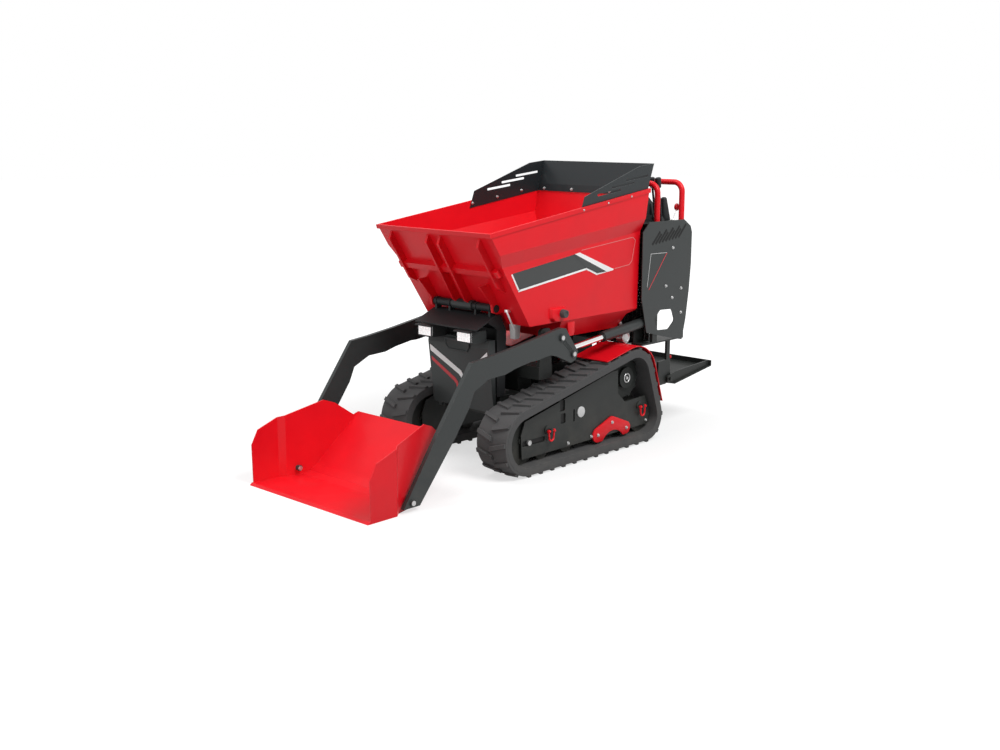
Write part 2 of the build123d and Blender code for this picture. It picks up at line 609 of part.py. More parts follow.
def cylinder_barrel(base, top, x, radius, rod, length, eye, pin):
    """A barrel with its eye bored for the base pin, hollow for the rod."""
    direction, _ = aim(base, top)
    eye_r, eye_w = eye
    end = along(base, direction, length)
    barrel = strut((x, *along(base, direction, eye_r * 0.9)), (x, *end), radius)
    barrel += cross_rod(base, eye_r, x - eye_w / 2, x + eye_w / 2)
    barrel -= strut((x, *along(base, direction, eye_r + 2)), (x, *along(end, direction, 1)), rod + ROD_CLEAR)
    return barrel - cross_rod(base, pin + PIN_CLEAR, x - eye_w, x + eye_w)


def cylinder_rod(base, top, x, radius, start, eye, pin):
    """A rod that starts inside the barrel and ends in an eye at the far pin."""
    direction, _ = aim(base, top)
    eye_r, eye_w = eye
    rod = strut((x, *along(base, direction, start)), (x, *along(top, direction, -eye_r * 0.7)), radius)
    rod += cross_rod(top, eye_r, x - eye_w / 2, x + eye_w / 2)
    return rod - cross_rod(top, pin, x - eye_w, x + eye_w)


def make_tip_pivot():
    """The pin and cheeks on the main frame that hold the tip cylinder's barrel."""
    y, z = TIP_BASE
    x0 = TIP_BARREL_R + MOVE_GAP
    pivot = cross_rod(TIP_BASE, TIP_PIN_R, -x0 - 10, x0 + 10)
    outline = [(y - 30, RAIL_Z + SEAT), (y + 30, RAIL_Z + SEAT), (y + 18, z + 20), (y - 18, z + 20)]
    cheek = slab(outline, x0, x0 + 10)
    pivot += cheek
    pivot += mirror_x(cheek)
    return pivot


# Arms and shovel

ARM_OUTLINE = [(-651, 573), (-553, 604 - 21), (-394, 604), (-77, 655), (-46, 648), (41, 530), (26, 495), (-8, 484),
               (-110, 529), (-152, 539), (-241, 527), (-282, 527), (-381, 511), (-446, 494), (-549, 489), (-638, 448),
               (-668, 382), (-746, 275), (-957, 20), (-1047, 20), (-861, 290), (-710, 494)]


def make_arm():
    """One arm plate with its pivot pin, foot pin and pin heads."""
    x0 = ARM_OUT - ARM_T
    arm = slab(ARM_OUTLINE, x0, ARM_OUT)
    arm += cross_rod(ARM_PIVOT, ARM_PIN_R, SADDLE_X - 10, ARM_OUT)
    arm += cross_rod(ARM_PIVOT, PIN_HEAD_R, ARM_OUT, ARM_OUT + PIN_HEAD_T)
    arm += cross_rod(CRANK_PIN, PIN_HEAD_R, ARM_OUT, ARM_OUT + PIN_HEAD_T)
    arm += cross_rod(FOOT_PIN, FOOT_PIN_R, 352, ARM_OUT)
    arm += cross_rod(FOOT_PIN, PIN_HEAD_R * 0.8, ARM_OUT, ARM_OUT + PIN_HEAD_T)
    arm += cross_rod(FOOT_PIN, PIN_HEAD_R * 0.8, 352 - PIN_HEAD_T, 352)
    return arm


def make_bucket():
    """The shovel: a floor that curves up into the back, and sides folded in towards the back."""
    t = BUCKET_WALL
    side = [(BUCKET_FRONT_Y, 0), (BUCKET_FRONT_Y - 2, 180), (-1183, 243), (BUCKET_FOLD_Y, 281), (-866, 336),
            (-811, 316), (-724, 250), (-700, 262), (-693, 258), (-905, 40), (-940, 14), (-985, 3), (-1080, 0)]
    half = [(BUCKET_HALF, -1300), (BUCKET_HALF, BUCKET_FOLD_Y), (BUCKET_NECK_HALF, BUCKET_NECK_Y),
            (BUCKET_BACK_HALF, BUCKET_REAR_Y), (BUCKET_BACK_HALF - 35, -690)]
    plan_out = [(-x, y) for x, y in half] + list(reversed(half))
    plan = make_face(Polyline(*plan_out, close=True))
    shape = slab(side, -500, 500) & extrude(plan, amount=600)
    hollow_side = [(-1400, t), (-985, 3 + t), (-942, 14 + t), (-908, 40 + t), (-700, 255 + t + 1), (-600, 700), (-1400, 700)]
    plan_in = [(x - math.copysign(t, x), y) for x, y in plan_out]
    hollow = slab(hollow_side, -500, 500) & extrude(make_face(Polyline(*plan_in, close=True)), amount=800)
    bucket = shape - hollow
    bucket += slab([(BUCKET_LIP_Y, 0), (BUCKET_LIP_Y + 12, LIP_T), (BUCKET_FRONT_Y + 30, LIP_T), (BUCKET_FRONT_Y + 30, 0)],
                   -BUCKET_HALF, BUCKET_HALF)
    bucket -= cross_rod(FOOT_PIN, FOOT_PIN_R + PIN_CLEAR, -420, 420)
    return bucket


# Tower and platform

def make_tower_panel():
    """The side sheet of the tower, with slanted louvres and a window for the filler."""
    outline = [(606, 1075), (612, TOWER_TOP), (905, TOWER_TOP - 2), (962, 1050), (975, 1018), (974, 859), (962, 721),
               (940, 576), (912, 472), (845, 485), (755, 507), (612, 543), (566, 715), (566, 1040)]
    x0 = TOWER_OUT - TOWER_T
    panel = slab(outline, x0, TOWER_OUT)
    for i in range(9):
        y = 640 + i * 27
        rise = 62 if i % 2 == 0 else 46
        slot = [(y, 975 + i * 3), (y + 5, 975 + i * 3), (y + 5 + rise, 975 + rise + i * 3), (y + rise, 975 + rise + i * 3)]
        panel -= slab(slot, x0 - 1, TOWER_OUT + 1)
    panel -= slab_round([(671, 600), (700, 545), (790, 540), (841, 580), (815, 640), (720, 645)], 18, x0 - 1, TOWER_OUT + 1)
    return panel


def make_tower_frame():
    """Posts, deck and foot of the tower behind the hopper."""
    x1 = TOWER_OUT - TOWER_T - SEAT
    half = block(x1 - 19, x1, 668, 705, DECK_TOP - 1, TOWER_TOP - 14)
    half += block(x1 - 19, x1, 900, 930, DECK_Z, TOWER_TOP - 14)
    half += block(x1 - 19, x1, 600, 930, DECK_Z, DECK_TOP)
    foot_top = DECK_Z + 1
    half += block(RAIL_X - RAIL_W / 2, RAIL_X + RAIL_W / 2, 640, FRAME_REAR, RAIL_Z + RAIL_H + SEAT, foot_top)
    half += lift_mount()
    frame = half + mirror_x(half)
    frame += block(-x1, x1, 640, 930, TOWER_TOP - 20, TOWER_TOP - 12)
    frame += block(-x1 + 1, x1 - 1, 590, 866, DECK_Z, DECK_TOP)
    return frame


def make_hoop(y):
    """A tube hoop across the machine, standing on the tower's top."""
    low = TOWER_TOP - 12 + SEAT
    path = FilletPolyline((-HOOP_X, y, low), (-HOOP_X, y, HOOP_TOP), (HOOP_X, y, HOOP_TOP), (HOOP_X, y, low),
                          radius=HOOP_BEND)
    return sweep(Plane(path @ 0, z_dir=path % 0) * Circle(HOOP_R), path=path)


def make_engine():
    w, d, h = ENGINE
    low = DECK_TOP + SEAT
    return block(-w / 2, w / 2, ENGINE_Y - d / 2, ENGINE_Y + d / 2, low, low + h)


def make_console():
    """The control console with its peaked boot and gauge top."""
    low = TOWER_TOP - 12 + SEAT
    body = block(-230, 230, 760, 900, low, low + 30)
    peak = slab([(770, low + 20), (860, low + 20), (855, low + 70), (800, low + 118), (785, low + 80)], -200, 220)
    return body + peak


def make_levers():
    """Drive and work levers with their grips, standing on the console."""
    low = TOWER_TOP - 12 + SEAT
    levers = []
    for x in (250, 290):
        rod = Pos(x, 790, low + 4) * Cylinder(14, 8)
        rod += strut((x, 790, low + 4), (x, 757, HOOP_TOP - 5), 4)
        rod += strut((x, 758, HOOP_TOP - 10), (x, 749, HOOP_TOP + 35), 11)
        levers.append(rod)
    return Compound(levers + [mirror_x(lever) for lever in levers])


def make_platform_bracket():
    """The brackets and struts that carry the folding platform behind the main frame."""
    y, z = PLATFORM_PIVOT
    x0 = PLATFORM_HALF - 30
    front = FRAME_REAR + SEAT
    side = slab([(front, 235), (y - 24, z - 26), (y + 4, z - 19), (y + 17, z - 8), (y + 19, z + 8), (900, 366),
                 (front, 360)], x0 - 12, x0)
    side += slab([(868, 360), (896, 360), (896, 478 - SEAT), (868, 478 - SEAT)], x0 - 12, x0)
    side += block(0, x0 - 6, front, front + 12, RAIL_Z, RAIL_Z + RAIL_H)
    side += cross_rod(PLATFORM_PIVOT, PLATFORM_PIN_R, x0 - 20, x0 + 24)
    return side + mirror_x(side)


def make_platform():
    """The operator's tray: a deck with upturned sides and rear edge, hinged at its front."""
    y, z = PLATFORM_PIVOT
    low = z - 28
    deck = slab([(PLATFORM_FRONT, low), (PLATFORM_REAR, PLATFORM_REAR_Z), (PLATFORM_REAR, PLATFORM_REAR_Z + PLATFORM_T),
                 (PLATFORM_FRONT, low + PLATFORM_T)], -PLATFORM_HALF, PLATFORM_HALF)
    deck += slab([(PLATFORM_REAR - 4, PLATFORM_REAR_Z), (PLATFORM_REAR, PLATFORM_REAR_Z),
                  (PLATFORM_REAR, PLATFORM_REAR_Z + PLATFORM_SIDE), (PLATFORM_REAR - 4, PLATFORM_REAR_Z + PLATFORM_SIDE)],
                 -PLATFORM_HALF, PLATFORM_HALF)
    x0 = PLATFORM_HALF - PLATFORM_T
    side = slab_round([(y - 20, z - 20), (PLATFORM_FRONT, low), (PLATFORM_REAR, PLATFORM_REAR_Z),
                 (PLATFORM_REAR, PLATFORM_REAR_Z + PLATFORM_SIDE), (PLATFORM_FRONT + 40, low + 62), (y + 10, z + 24), (y - 22, z + 14)],
                5, PLATFORM_HALF - 24, PLATFORM_HALF - 24 + 8)
    side -= cross_rod(PLATFORM_PIVOT, PLATFORM_PIN_R + PIN_CLEAR, x0 - 40, x0 + 40)
    return deck + side + mirror_x(side)


# Hood

def make_hood():
    """The front cover that tilts forward, with housings for the two lamps."""
    y = HOOD_Y
    outline = [(y, HOOD_LOW), (y - 35, 561), (y - 28, HOOD_TOP), (y + 8, HOOD_TOP), (y + 12, HOOD_LOW)]
    shell = slab(outline, -HOOD_HALF, HOOD_HALF)
    shell -= slab([(y + HOOD_T, HOOD_LOW - 1), (y - 31, 561), (y - 24, HOOD_TOP - 4), (y + 30, HOOD_TOP - 4), (y + 30, HOOD_LOW - 1)],
                  -HOOD_HALF + HOOD_T, HOOD_HALF - HOOD_T)
    for side in (-1, 1):
        x = side * LAMP_X
        half = LAMP_W / 2
        top = LAMP_Z + LAMP_H
        case = block(x - half - 5, x + half + 5, LAMP_Y + 6, y - 25, LAMP_Z - 5, top + 3)
        case -= block(x - half - SEAT, x + half + SEAT, LAMP_Y + 5, LAMP_Y + 6 + LAMP_DEPTH, LAMP_Z - SEAT, top + SEAT)
        shell += case
    for x in (-170, 150):
        shell += cross_rod(HOOD_PIN, HOOD_LUG_R, x, x + 20)
        shell += slab([(y + 1, HOOD_LOW + 20), (y + 5, HOOD_LOW - 16), (HOOD_PIN[0], HOOD_PIN[1] - 8),
                       (HOOD_PIN[0] + 2, HOOD_PIN[1] + 8), (y + 12, HOOD_LOW + 20)], x, x + 20)
    return shell - cross_rod(HOOD_PIN, HOOD_PIN_R + PIN_CLEAR, -200, 200)


def make_lamps():
    lamps = []
    for side in (-1, 1):
        x = side * LAMP_X
        lamps.append(block(x - LAMP_W / 2, x + LAMP_W / 2, LAMP_Y, LAMP_Y + LAMP_DEPTH, LAMP_Z, LAMP_Z + LAMP_H))
    return Compound(lamps)


def build():
    pairs = {"track": make_track(), "wheels": Compound(make_idlers() + make_rollers()), "sprocket": make_sprocket(),
             "track_frame": make_track_frame(), "bogie_link": make_bogie(), "tow_shackles": make_shackles(),
             "fender": make_fender(), "arm": make_arm(), "tower_panel": make_tower_panel(),
             "skip_side_board": make_side_extension(),
             "lift_barrel": cylinder_barrel(LIFT_BASE, CRANK_PIN, LIFT_X, LIFT_BARREL_R, LIFT_ROD_R, LIFT_BARREL_LEN,
                                            (LIFT_EYE_R, LIFT_EYE_W), LIFT_PIN_R),
             "lift_rod": cylinder_rod(LIFT_BASE, CRANK_PIN, LIFT_X, LIFT_ROD_R, LIFT_ROD_START,
                                      (LIFT_EYE_R, LIFT_EYE_W), LIFT_PIN_R)}
    for name, shape in pairs.items():
        save(shape, name + "_left")
        save(mirror_x(shape), name + "_right")
    save(make_chassis(), "main_frame")
    save(make_stand(), "hinge_stand")
    save(make_saddle(), "arm_saddle")
    save(make_tub(), "skip_tub")
    save(make_ribs(), "skip_front_ribs")
    save(make_rear_extension(), "skip_rear_board")
    save(make_tip_ears(), "tip_ears")
    save(make_tip_pivot(), "tip_pivot")
    save(cylinder_barrel(TIP_BASE, TIP_TOP, 0, TIP_BARREL_R, TIP_ROD_R, TIP_BARREL_LEN,
                         (TIP_BASE_EYE_R, TIP_BASE_EYE_W), TIP_PIN_R), "tip_barrel")
    save(cylinder_rod(TIP_BASE, TIP_TOP, 0, TIP_ROD_R, TIP_ROD_START, (TIP_EYE_R, TIP_EYE_W), 8), "tip_rod")
    save(make_bucket(), "shovel")
    save(make_tower_frame(), "tower_frame")
    save(make_hoop(FRONT_HOOP_Y), "front_hoop")
    save(make_hoop(REAR_HOOP_Y), "rear_hoop")
    save(make_engine(), "engine")
    save(make_console(), "console")
    save(make_levers(), "levers")
    save(make_platform_bracket(), "platform_bracket")
    save(make_platform(), "platform")
    save(make_hood(), "hood")
    save(make_lamps(), "lamps")


build()
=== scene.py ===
import math

import bmesh
import bpy
from mathutils import Matrix, Vector


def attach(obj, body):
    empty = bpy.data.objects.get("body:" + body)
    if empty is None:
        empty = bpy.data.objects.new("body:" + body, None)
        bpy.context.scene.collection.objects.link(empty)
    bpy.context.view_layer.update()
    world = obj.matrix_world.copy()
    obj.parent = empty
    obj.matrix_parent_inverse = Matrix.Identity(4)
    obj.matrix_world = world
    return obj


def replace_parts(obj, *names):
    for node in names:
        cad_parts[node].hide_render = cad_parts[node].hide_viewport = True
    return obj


bl_info = {
    "name": "Tracked dumper dressing",
    "version": (1, 0, 0),
    "blender": (4, 5, 0),
    "location": "View3D > Sidebar > Dumper",
    "description": "Fasteners, stripes, lamps, trim and finishes for a tracked mini dumper",
    "category": "Object",
}

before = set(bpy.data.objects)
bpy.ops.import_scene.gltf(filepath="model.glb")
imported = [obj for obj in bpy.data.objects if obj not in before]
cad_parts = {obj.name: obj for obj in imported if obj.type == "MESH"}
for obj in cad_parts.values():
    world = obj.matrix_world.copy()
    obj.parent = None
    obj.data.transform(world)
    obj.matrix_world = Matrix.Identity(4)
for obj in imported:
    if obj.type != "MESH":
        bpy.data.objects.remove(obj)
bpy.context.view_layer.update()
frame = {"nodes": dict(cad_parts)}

PLATE_X = 0.3725
LINK_X = 0.3808
PANEL_X = 0.365
BOARD_X = 0.354
WHEELS = ((-0.302, 0.163, 0.115), (0.470, 0.335, 0.108), (0.573, 0.126, 0.078))
SLOTS = ((-0.045, -0.011, 0.255, 0.307), (-0.040, -0.006, 0.195, 0.243), (0.050, 0.060, 0.190, 0.250),
         (-0.303, -0.276, 0.134, 0.160), (-0.248, -0.150, 0.134, 0.160))
SHACKLE_Y = (-0.123, 0.563)
LINK_ENDS = ((0.225, 0.094, 0.036), (0.332, 0.139, 0.030), (0.444, 0.093, 0.031))
HOOD_FRONT = (-0.305, 0.262)
HOOD_TILT = math.atan2(0.035, 0.299)
LAMP_X = 0.128
LEVER_X = (0.270, 0.309, -0.270, -0.309)
GUARD = (0.6645, 0.775)
LIGHTS = (("key", (5.0, 0.0, 6.4), 3.8, 480.0), ("top", (-1.8, -1.8, 7.0), 4.0, 190.0),
          ("fill", (0.3, -6.5, 2.6), 3.5, 110.0))


# Modelling

def clear():
    """Leaves edit mode and selects nothing."""
    active = bpy.context.view_layer.objects.active
    if active and active.mode != "OBJECT":
        bpy.ops.object.mode_set(mode="OBJECT")
    bpy.ops.object.select_all(action="DESELECT")


def settle(name):
    """Names the new primitive and puts its place in its mesh."""
    obj = bpy.context.active_object
    obj.name = name
    obj.data.name = name
    bpy.ops.object.transform_apply(location=True, rotation=True, scale=True)
    return obj


def start_box(name, low, high):
    clear()
    low, high = Vector(low), Vector(high)
    bpy.ops.mesh.primitive_cube_add(size=1, location=(low + high) / 2, scale=high - low)
    return settle(name)


def start_rod(name, start, end, radius, sides=32, tip=None):
    clear()
    start, end = Vector(start), Vector(end)
    turn = Vector((0, 0, 1)).rotation_difference(end - start).to_euler()
    place = {"depth": (end - start).length, "location": (start + end) / 2, "rotation": turn}
    if tip is None:
        bpy.ops.mesh.primitive_cylinder_add(vertices=sides, radius=radius, **place)
    else:
        bpy.ops.mesh.primitive_cone_add(vertices=sides, radius1=radius, radius2=tip, **place)
    return settle(name)


def start_ball(name, centre, radius, scale=(1, 1, 1)):
    clear()
    bpy.ops.mesh.primitive_uv_sphere_add(segments=24, ring_count=12, radius=radius, location=centre,
                                         scale=scale)
    return settle(name)


def start_ring(name, centre, radius, thick):
    clear()
    turn = Vector((0, 0, 1)).rotation_difference(Vector((1, 0, 0))).to_euler()
    bpy.ops.mesh.primitive_torus_add(major_radius=radius, minor_radius=thick, major_segments=40,
                                     minor_segments=12, location=centre, rotation=turn)
    return settle(name)


def pick(obj, test):
    """Enters edit mode with the faces selected whose centre and normal pass the test."""
    clear()
    obj.select_set(True)
    bpy.context.view_layer.objects.active = obj
    bpy.ops.object.mode_set(mode="EDIT")
    bpy.ops.mesh.select_mode(type="FACE")
    bpy.ops.mesh.select_all(action="DESELECT")
    mesh = bmesh.from_edit_mesh(obj.data)
    for face in mesh.faces:
        face.select_set(bool(test(face.calc_center_median(), face.normal)))
    bmesh.update_edit_mesh(obj.data)


def everything(centre, normal):
    return True


def facing(direction):
    direction = Vector(direction)
    return lambda centre, normal: normal.dot(direction) > 0.9


def sink(obj, test, border, depth):
    """Insets the chosen faces and moves them in by a depth, or out by a negative one."""
    pick(obj, test)
    bpy.ops.mesh.inset(thickness=border, depth=0)
    bpy.ops.mesh.inset(thickness=0.0002, depth=-depth)
    clear()


def step(obj, test, border, height):
    """Insets the chosen faces and raises them."""
    pick(obj, test)
    bpy.ops.mesh.inset(thickness=border, depth=height)
    clear()
    return obj


def squeeze(obj, test, scale):
    """Scales the chosen faces about their middle."""
    pick(obj, test)
    bpy.ops.transform.resize(value=scale)
    clear()
    return obj


def trim(obj, point, normal):
    """Cuts off what lies outside a plane and closes the cut."""
    pick(obj, everything)
    bpy.ops.mesh.bisect(plane_co=point, plane_no=normal, use_fill=True, clear_outer=True)


def soften(obj, width, segments=2):
    """Rounds the edges and shades the curved faces smooth."""
    clear()
    obj.select_set(True)
    bpy.context.view_layer.objects.active = obj
    bevel = obj.modifiers.new("rounded", "BEVEL")
    bevel.width = width
    bevel.segments = segments
    bevel.limit_method = "ANGLE"
    bevel.angle_limit = math.radians(35)
    bpy.ops.object.modifier_apply(modifier=bevel.name)
    bpy.ops.object.shade_smooth_by_angle(angle=math.radians(35))
    return obj


def outward(obj):
    """Merges doubles and turns every face outwards."""
    pick(obj, everything)
    bpy.ops.mesh.remove_doubles(threshold=0.00002)
    bpy.ops.mesh.normals_make_consistent(inside=False)
    clear()
    return obj


def join(objects, name):
    clear()
    for obj in objects:
        obj.select_set(True)
    bpy.context.view_layer.objects.active = objects[0]
    if len(objects) > 1:
        bpy.ops.object.join()
    joined = bpy.context.view_layer.objects.active
    joined.name = name
    joined.data.name = name
    return joined


def copy_of(obj, matrix):
    copy = obj.copy()
    copy.data = obj.data.copy()
    bpy.context.collection.objects.link(copy)
    copy.data.transform(matrix)
    return copy


def mirrored(obj):
    """A copy on the other side of the machine."""
    return outward(copy_of(obj, Matrix.Scale(-1, 4, (1, 0, 0))))


def stamp(pattern, places):
    """Copies of a pattern made at the origin along +Z, one for each (point, direction)."""
    copies = []
    for point, direction in places:
        turn = Vector((0, 0, 1)).rotation_difference(Vector(direction)).to_matrix().to_4x4()
        copies.append(copy_of(pattern, Matrix.Translation(point) @ turn))
    return copies


def drop(obj):
    bpy.data.objects.remove(obj, do_unlink=True)


def cut_away(obj, cutter):
    """Takes the cutter's solid out of a piece and leaves the piece selected."""
    clear()
    obj.select_set(True)
    bpy.context.view_layer.objects.active = obj
    cut = obj.modifiers.new("cut", "BOOLEAN")
    cut.operation = "DIFFERENCE"
    cut.object = cutter
    bpy.ops.object.modifier_apply(modifier=cut.name)
    drop(cutter)


def cut_plate(name, outline, low, high, axis=0):
    """A plate with a convex outline across one axis, trimmed from a block edge by edge."""
    across = [i for i in range(3) if i != axis]
    corner_low, corner_high = [0, 0, 0], [0, 0, 0]
    corner_low[axis], corner_high[axis] = low, high
    for slot, i in enumerate(across):
        corner_low[i] = min(p[slot] for p in outline) - 0.002
        corner_high[i] = max(p[slot] for p in outline) + 0.002
    plate = start_box(name, corner_low, corner_high)
    middle = [sum(p[slot] for p in outline) / len(outline) for slot in (0, 1)]
    for i, first in enumerate(outline):
        second = outline[(i + 1) % len(outline)]
        normal = Vector((second[1] - first[1], first[0] - second[0]))
        if normal.dot(Vector((first[0] - middle[0], first[1] - middle[1]))) < 0:
            normal = -normal
        point, direction = [0, 0, 0], [0, 0, 0]
        point[axis] = low
        for slot, k in enumerate(across):
            point[k] = first[slot]
            direction[k] = normal[slot]
        trim(plate, point, Vector(direction).normalized())
    return outward(plate)


def bar(start, end, width):
    """The outline of a straight band between two points."""
    run = Vector(end) - Vector(start)
    side = Vector((-run.y, run.x)).normalized() * width / 2
    return [tuple(Vector(start) + side), tuple(Vector(end) + side), tuple(Vector(end) - side),
            tuple(Vector(start) - side)]


def hull(name, discs, x0, x1, grow=0.0, sides=96):
    """The solid drawn tight round upright discs, each given as (y, z, radius)."""
    solid = join([start_rod("disc", (x0, y, z), (x1, y, z), radius + grow, sides=sides)
                  for y, z, radius in discs], name)
    pick(solid, everything)
    bpy.ops.mesh.convex_hull()
    clear()
    return solid


def place(obj, body, finish, slot=None):
    """Gives a finished piece its material and its body."""
    obj.data.materials.clear()
    obj.data.materials.append(material(finish))
    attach(obj, body)
    return obj


def pair(piece, name, body, finish, slot=None, stand_in=None):
    """Places a piece and its mirror image, which may stand for a node on each side."""
    other = mirrored(piece)
    for obj, side in ((piece, "_left"), (other, "_right")):
        obj.name = name + side
        place(obj, body, finish, slot)
        if stand_in:
            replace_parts(obj, stand_in + side)


# Shader node groups

def new_group(name, inputs, outputs):
    group = bpy.data.node_groups.new(name, "ShaderNodeTree")
    for label, kind, value in inputs:
        socket = group.interface.new_socket(name=label, in_out="INPUT", socket_type=kind)
        if value is not None:
            socket.default_value = value
    for label, kind in outputs:
        group.interface.new_socket(name=label, in_out="OUTPUT", socket_type=kind)
    return group, group.nodes.new("NodeGroupInput"), group.nodes.new("NodeGroupOutput")


def node(tree, kind, inputs=(), **settings):
    made = tree.nodes.new(kind)
    for key, value in settings.items():
        setattr(made, key, value)
    for key, value in dict(inputs).items():
        if isinstance(value, bpy.types.NodeSocket):
            tree.links.new(value, made.inputs[key])
        else:
            made.inputs[key].default_value = value
    return made


def grouped(tree, group, key, value):
    """A node that holds a group, with one of its inputs set."""
    made = node(tree, "ShaderNodeGroup")
    made.node_tree = group
    made.inputs[key].default_value = value
    return made


def start_material(name):
    """A material with an empty tree, the tree and its output."""
    made = bpy.data.materials.new(name)
    made.use_nodes = True
    made.node_tree.nodes.clear()
    return made, made.node_tree, node(made.node_tree, "ShaderNodeOutputMaterial")


def grain_group():
    """Fine speckle with slow cloudy variation, for powder coat, rubber and castings."""
    if "grain" in bpy.data.node_groups:
        return bpy.data.node_groups["grain"]
    group, enter, leave = new_group(
        "grain", [("Scale", "NodeSocketFloat", 900.0), ("Cloud Scale", "NodeSocketFloat", 3.0)],
        [("Fine", "NodeSocketFloat"), ("Cloud", "NodeSocketFloat")])
    place_in = node(group, "ShaderNodeTexCoord").outputs["Object"]
    fine = node(group, "ShaderNodeTexNoise",
                {"Vector": place_in, "Scale": enter.outputs["Scale"], "Detail": 3.0})
    cloud = node(group, "ShaderNodeTexNoise", {"Vector": place_in, "Scale": enter.outputs["Cloud Scale"],
                                               "Detail": 4.0, "Roughness": 0.6})
    group.links.new(fine.outputs["Fac"], leave.inputs["Fine"])
    group.links.new(cloud.outputs["Fac"], leave.inputs["Cloud"])
    return group


def wear_group():
    """A mask of sharp edges, broken up by noise."""
    if "edge wear" in bpy.data.node_groups:
        return bpy.data.node_groups["edge wear"]
    group, enter, leave = new_group(
        "edge wear", [("Radius", "NodeSocketFloat", 0.003), ("Amount", "NodeSocketFloat", 0.5)],
        [("Mask", "NodeSocketFloat")])
    place_in = node(group, "ShaderNodeTexCoord").outputs["Object"]
    rounded = node(group, "ShaderNodeBevel", {"Radius": enter.outputs["Radius"]}, samples=4)
    normal = node(group, "ShaderNodeNewGeometry").outputs["Normal"]
    dot = node(group, "ShaderNodeVectorMath", {0: rounded.outputs["Normal"], 1: normal},
               operation="DOT_PRODUCT")
    edge = node(group, "ShaderNodeMapRange",
                {"Value": dot.outputs["Value"], "From Min": 0.995, "From Max": 0.9})
    noise = node(group, "ShaderNodeTexNoise", {"Vector": place_in, "Scale": 60.0, "Detail": 5.0})
    broken = node(group, "ShaderNodeMapRange",
                  {"Value": noise.outputs["Fac"], "From Min": 0.42, "From Max": 0.62})
    masked = node(group, "ShaderNodeMath", {0: edge.outputs["Result"], 1: broken.outputs["Result"]},
                  operation="MULTIPLY")
    final = node(group, "ShaderNodeMath", {0: masked.outputs["Value"], 1: enter.outputs["Amount"]},
                 operation="MULTIPLY")
    group.links.new(final.outputs["Value"], leave.inputs["Mask"])
    return group


def dust_group():
    """A mask of fine dust that thins out with height above the ground."""
    if "dust" in bpy.data.node_groups:
        return bpy.data.node_groups["dust"]
    group, enter, leave = new_group(
        "dust", [("Height", "NodeSocketFloat", 0.3), ("Amount", "NodeSocketFloat", 0.2)],
        [("Mask", "NodeSocketFloat")])
    place_in = node(group, "ShaderNodeTexCoord").outputs["Object"]
    split = node(group, "ShaderNodeSeparateXYZ", {"Vector": place_in})
    low = node(group, "ShaderNodeMapRange",
               {"Value": split.outputs["Z"], "From Min": enter.outputs["Height"], "From Max": 0.0})
    noise = node(group, "ShaderNodeTexNoise", {"Vector": place_in, "Scale": 14.0, "Detail": 6.0})
    patch = node(group, "ShaderNodeMapRange",
                 {"Value": noise.outputs["Fac"], "From Min": 0.35, "From Max": 0.7})
    mixed = node(group, "ShaderNodeMath", {0: low.outputs["Result"], 1: patch.outputs["Result"]},
                 operation="MULTIPLY")
    final = node(group, "ShaderNodeMath", {0: mixed.outputs["Value"], 1: enter.outputs["Amount"]},
                 operation="MULTIPLY")
    group.links.new(final.outputs["Value"], leave.inputs["Mask"])
    return group


# Finish: colour name, roughness, metallic, coat, grain scale, bump, wear, dust
FINISHES = {
    "gloss red": ("red", 0.42, 0.0, 0.06, 1400.0, 0.02, 0.06, 0.02),
    "shovel red": ("red", 0.42, 0.0, 0.06, 1400.0, 0.02, 0.08, 0.02),
    "satin black": ("black", 0.46, 0.0, 0.10, 1100.0, 0.05, 0.12, 0.08),
    "frame black": ("frame", 0.50, 0.0, 0.05, 1000.0, 0.06, 0.15, 0.12),
    "moulded black": ("black", 0.55, 0.0, 0.0, 500.0, 0.12, 0.0, 0.02),
    "board black": ("board", 0.42, 0.0, 0.12, 1100.0, 0.05, 0.12, 0.03),
    "rubber": ("rubber", 0.78, 0.0, 0.0, 260.0, 0.30, 0.10, 0.12),
    "cast black": ("frame", 0.58, 0.2, 0.0, 500.0, 0.18, 0.25, 0.15),
    # Painted shade: a flat near-black that stands for the shade inside the louvres, the track-frame slots
    # and behind the engine guard.
    "deep black": ("deep", 0.60, 0.0, 0.0, 500.0, 0.05, 0.0, 0.0),
    # Darker than the other blacks: painted shade on the hinge stand under the hopper and on the lamp frames
    # and visors, and the own black of the lever boots and levers.
    "stand black": ("shade", 0.55, 0.0, 0.0, 900.0, 0.05, 0.10, 0.05),
    "bolt zinc": ("steel", 0.34, 0.85, 0.0, 900.0, 0.04, 0.0, 0.0),
    "zinc": ("zinc", 0.30, 0.85, 0.0, 900.0, 0.04, 0.0, 0.0),
    "chrome": ("zinc", 0.12, 1.0, 0.0, 1200.0, 0.01, 0.0, 0.0),
    "cap grey": ("cap", 0.45, 0.0, 0.0, 700.0, 0.04, 0.0, 0.0),
    "engine grey": ("engine", 0.50, 0.3, 0.0, 400.0, 0.15, 0.10, 0.05),
    "stripe white": ("white", 0.40, 0.0, 0.2, 900.0, 0.01, 0.0, 0.0),
    "stripe red": ("stripe", 0.40, 0.0, 0.2, 900.0, 0.01, 0.0, 0.0),
    "stripe black": ("stripe_dark", 0.42, 0.0, 0.2, 900.0, 0.01, 0.0, 0.0),
    "stripe line": ("line", 0.40, 0.0, 0.2, 900.0, 0.01, 0.0, 0.0),
    "knob red": ("red", 0.25, 0.0, 0.5, 900.0, 0.01, 0.0, 0.0),
}


def both(*names):
    return [name + side for name in names for side in ("_left", "_right")]


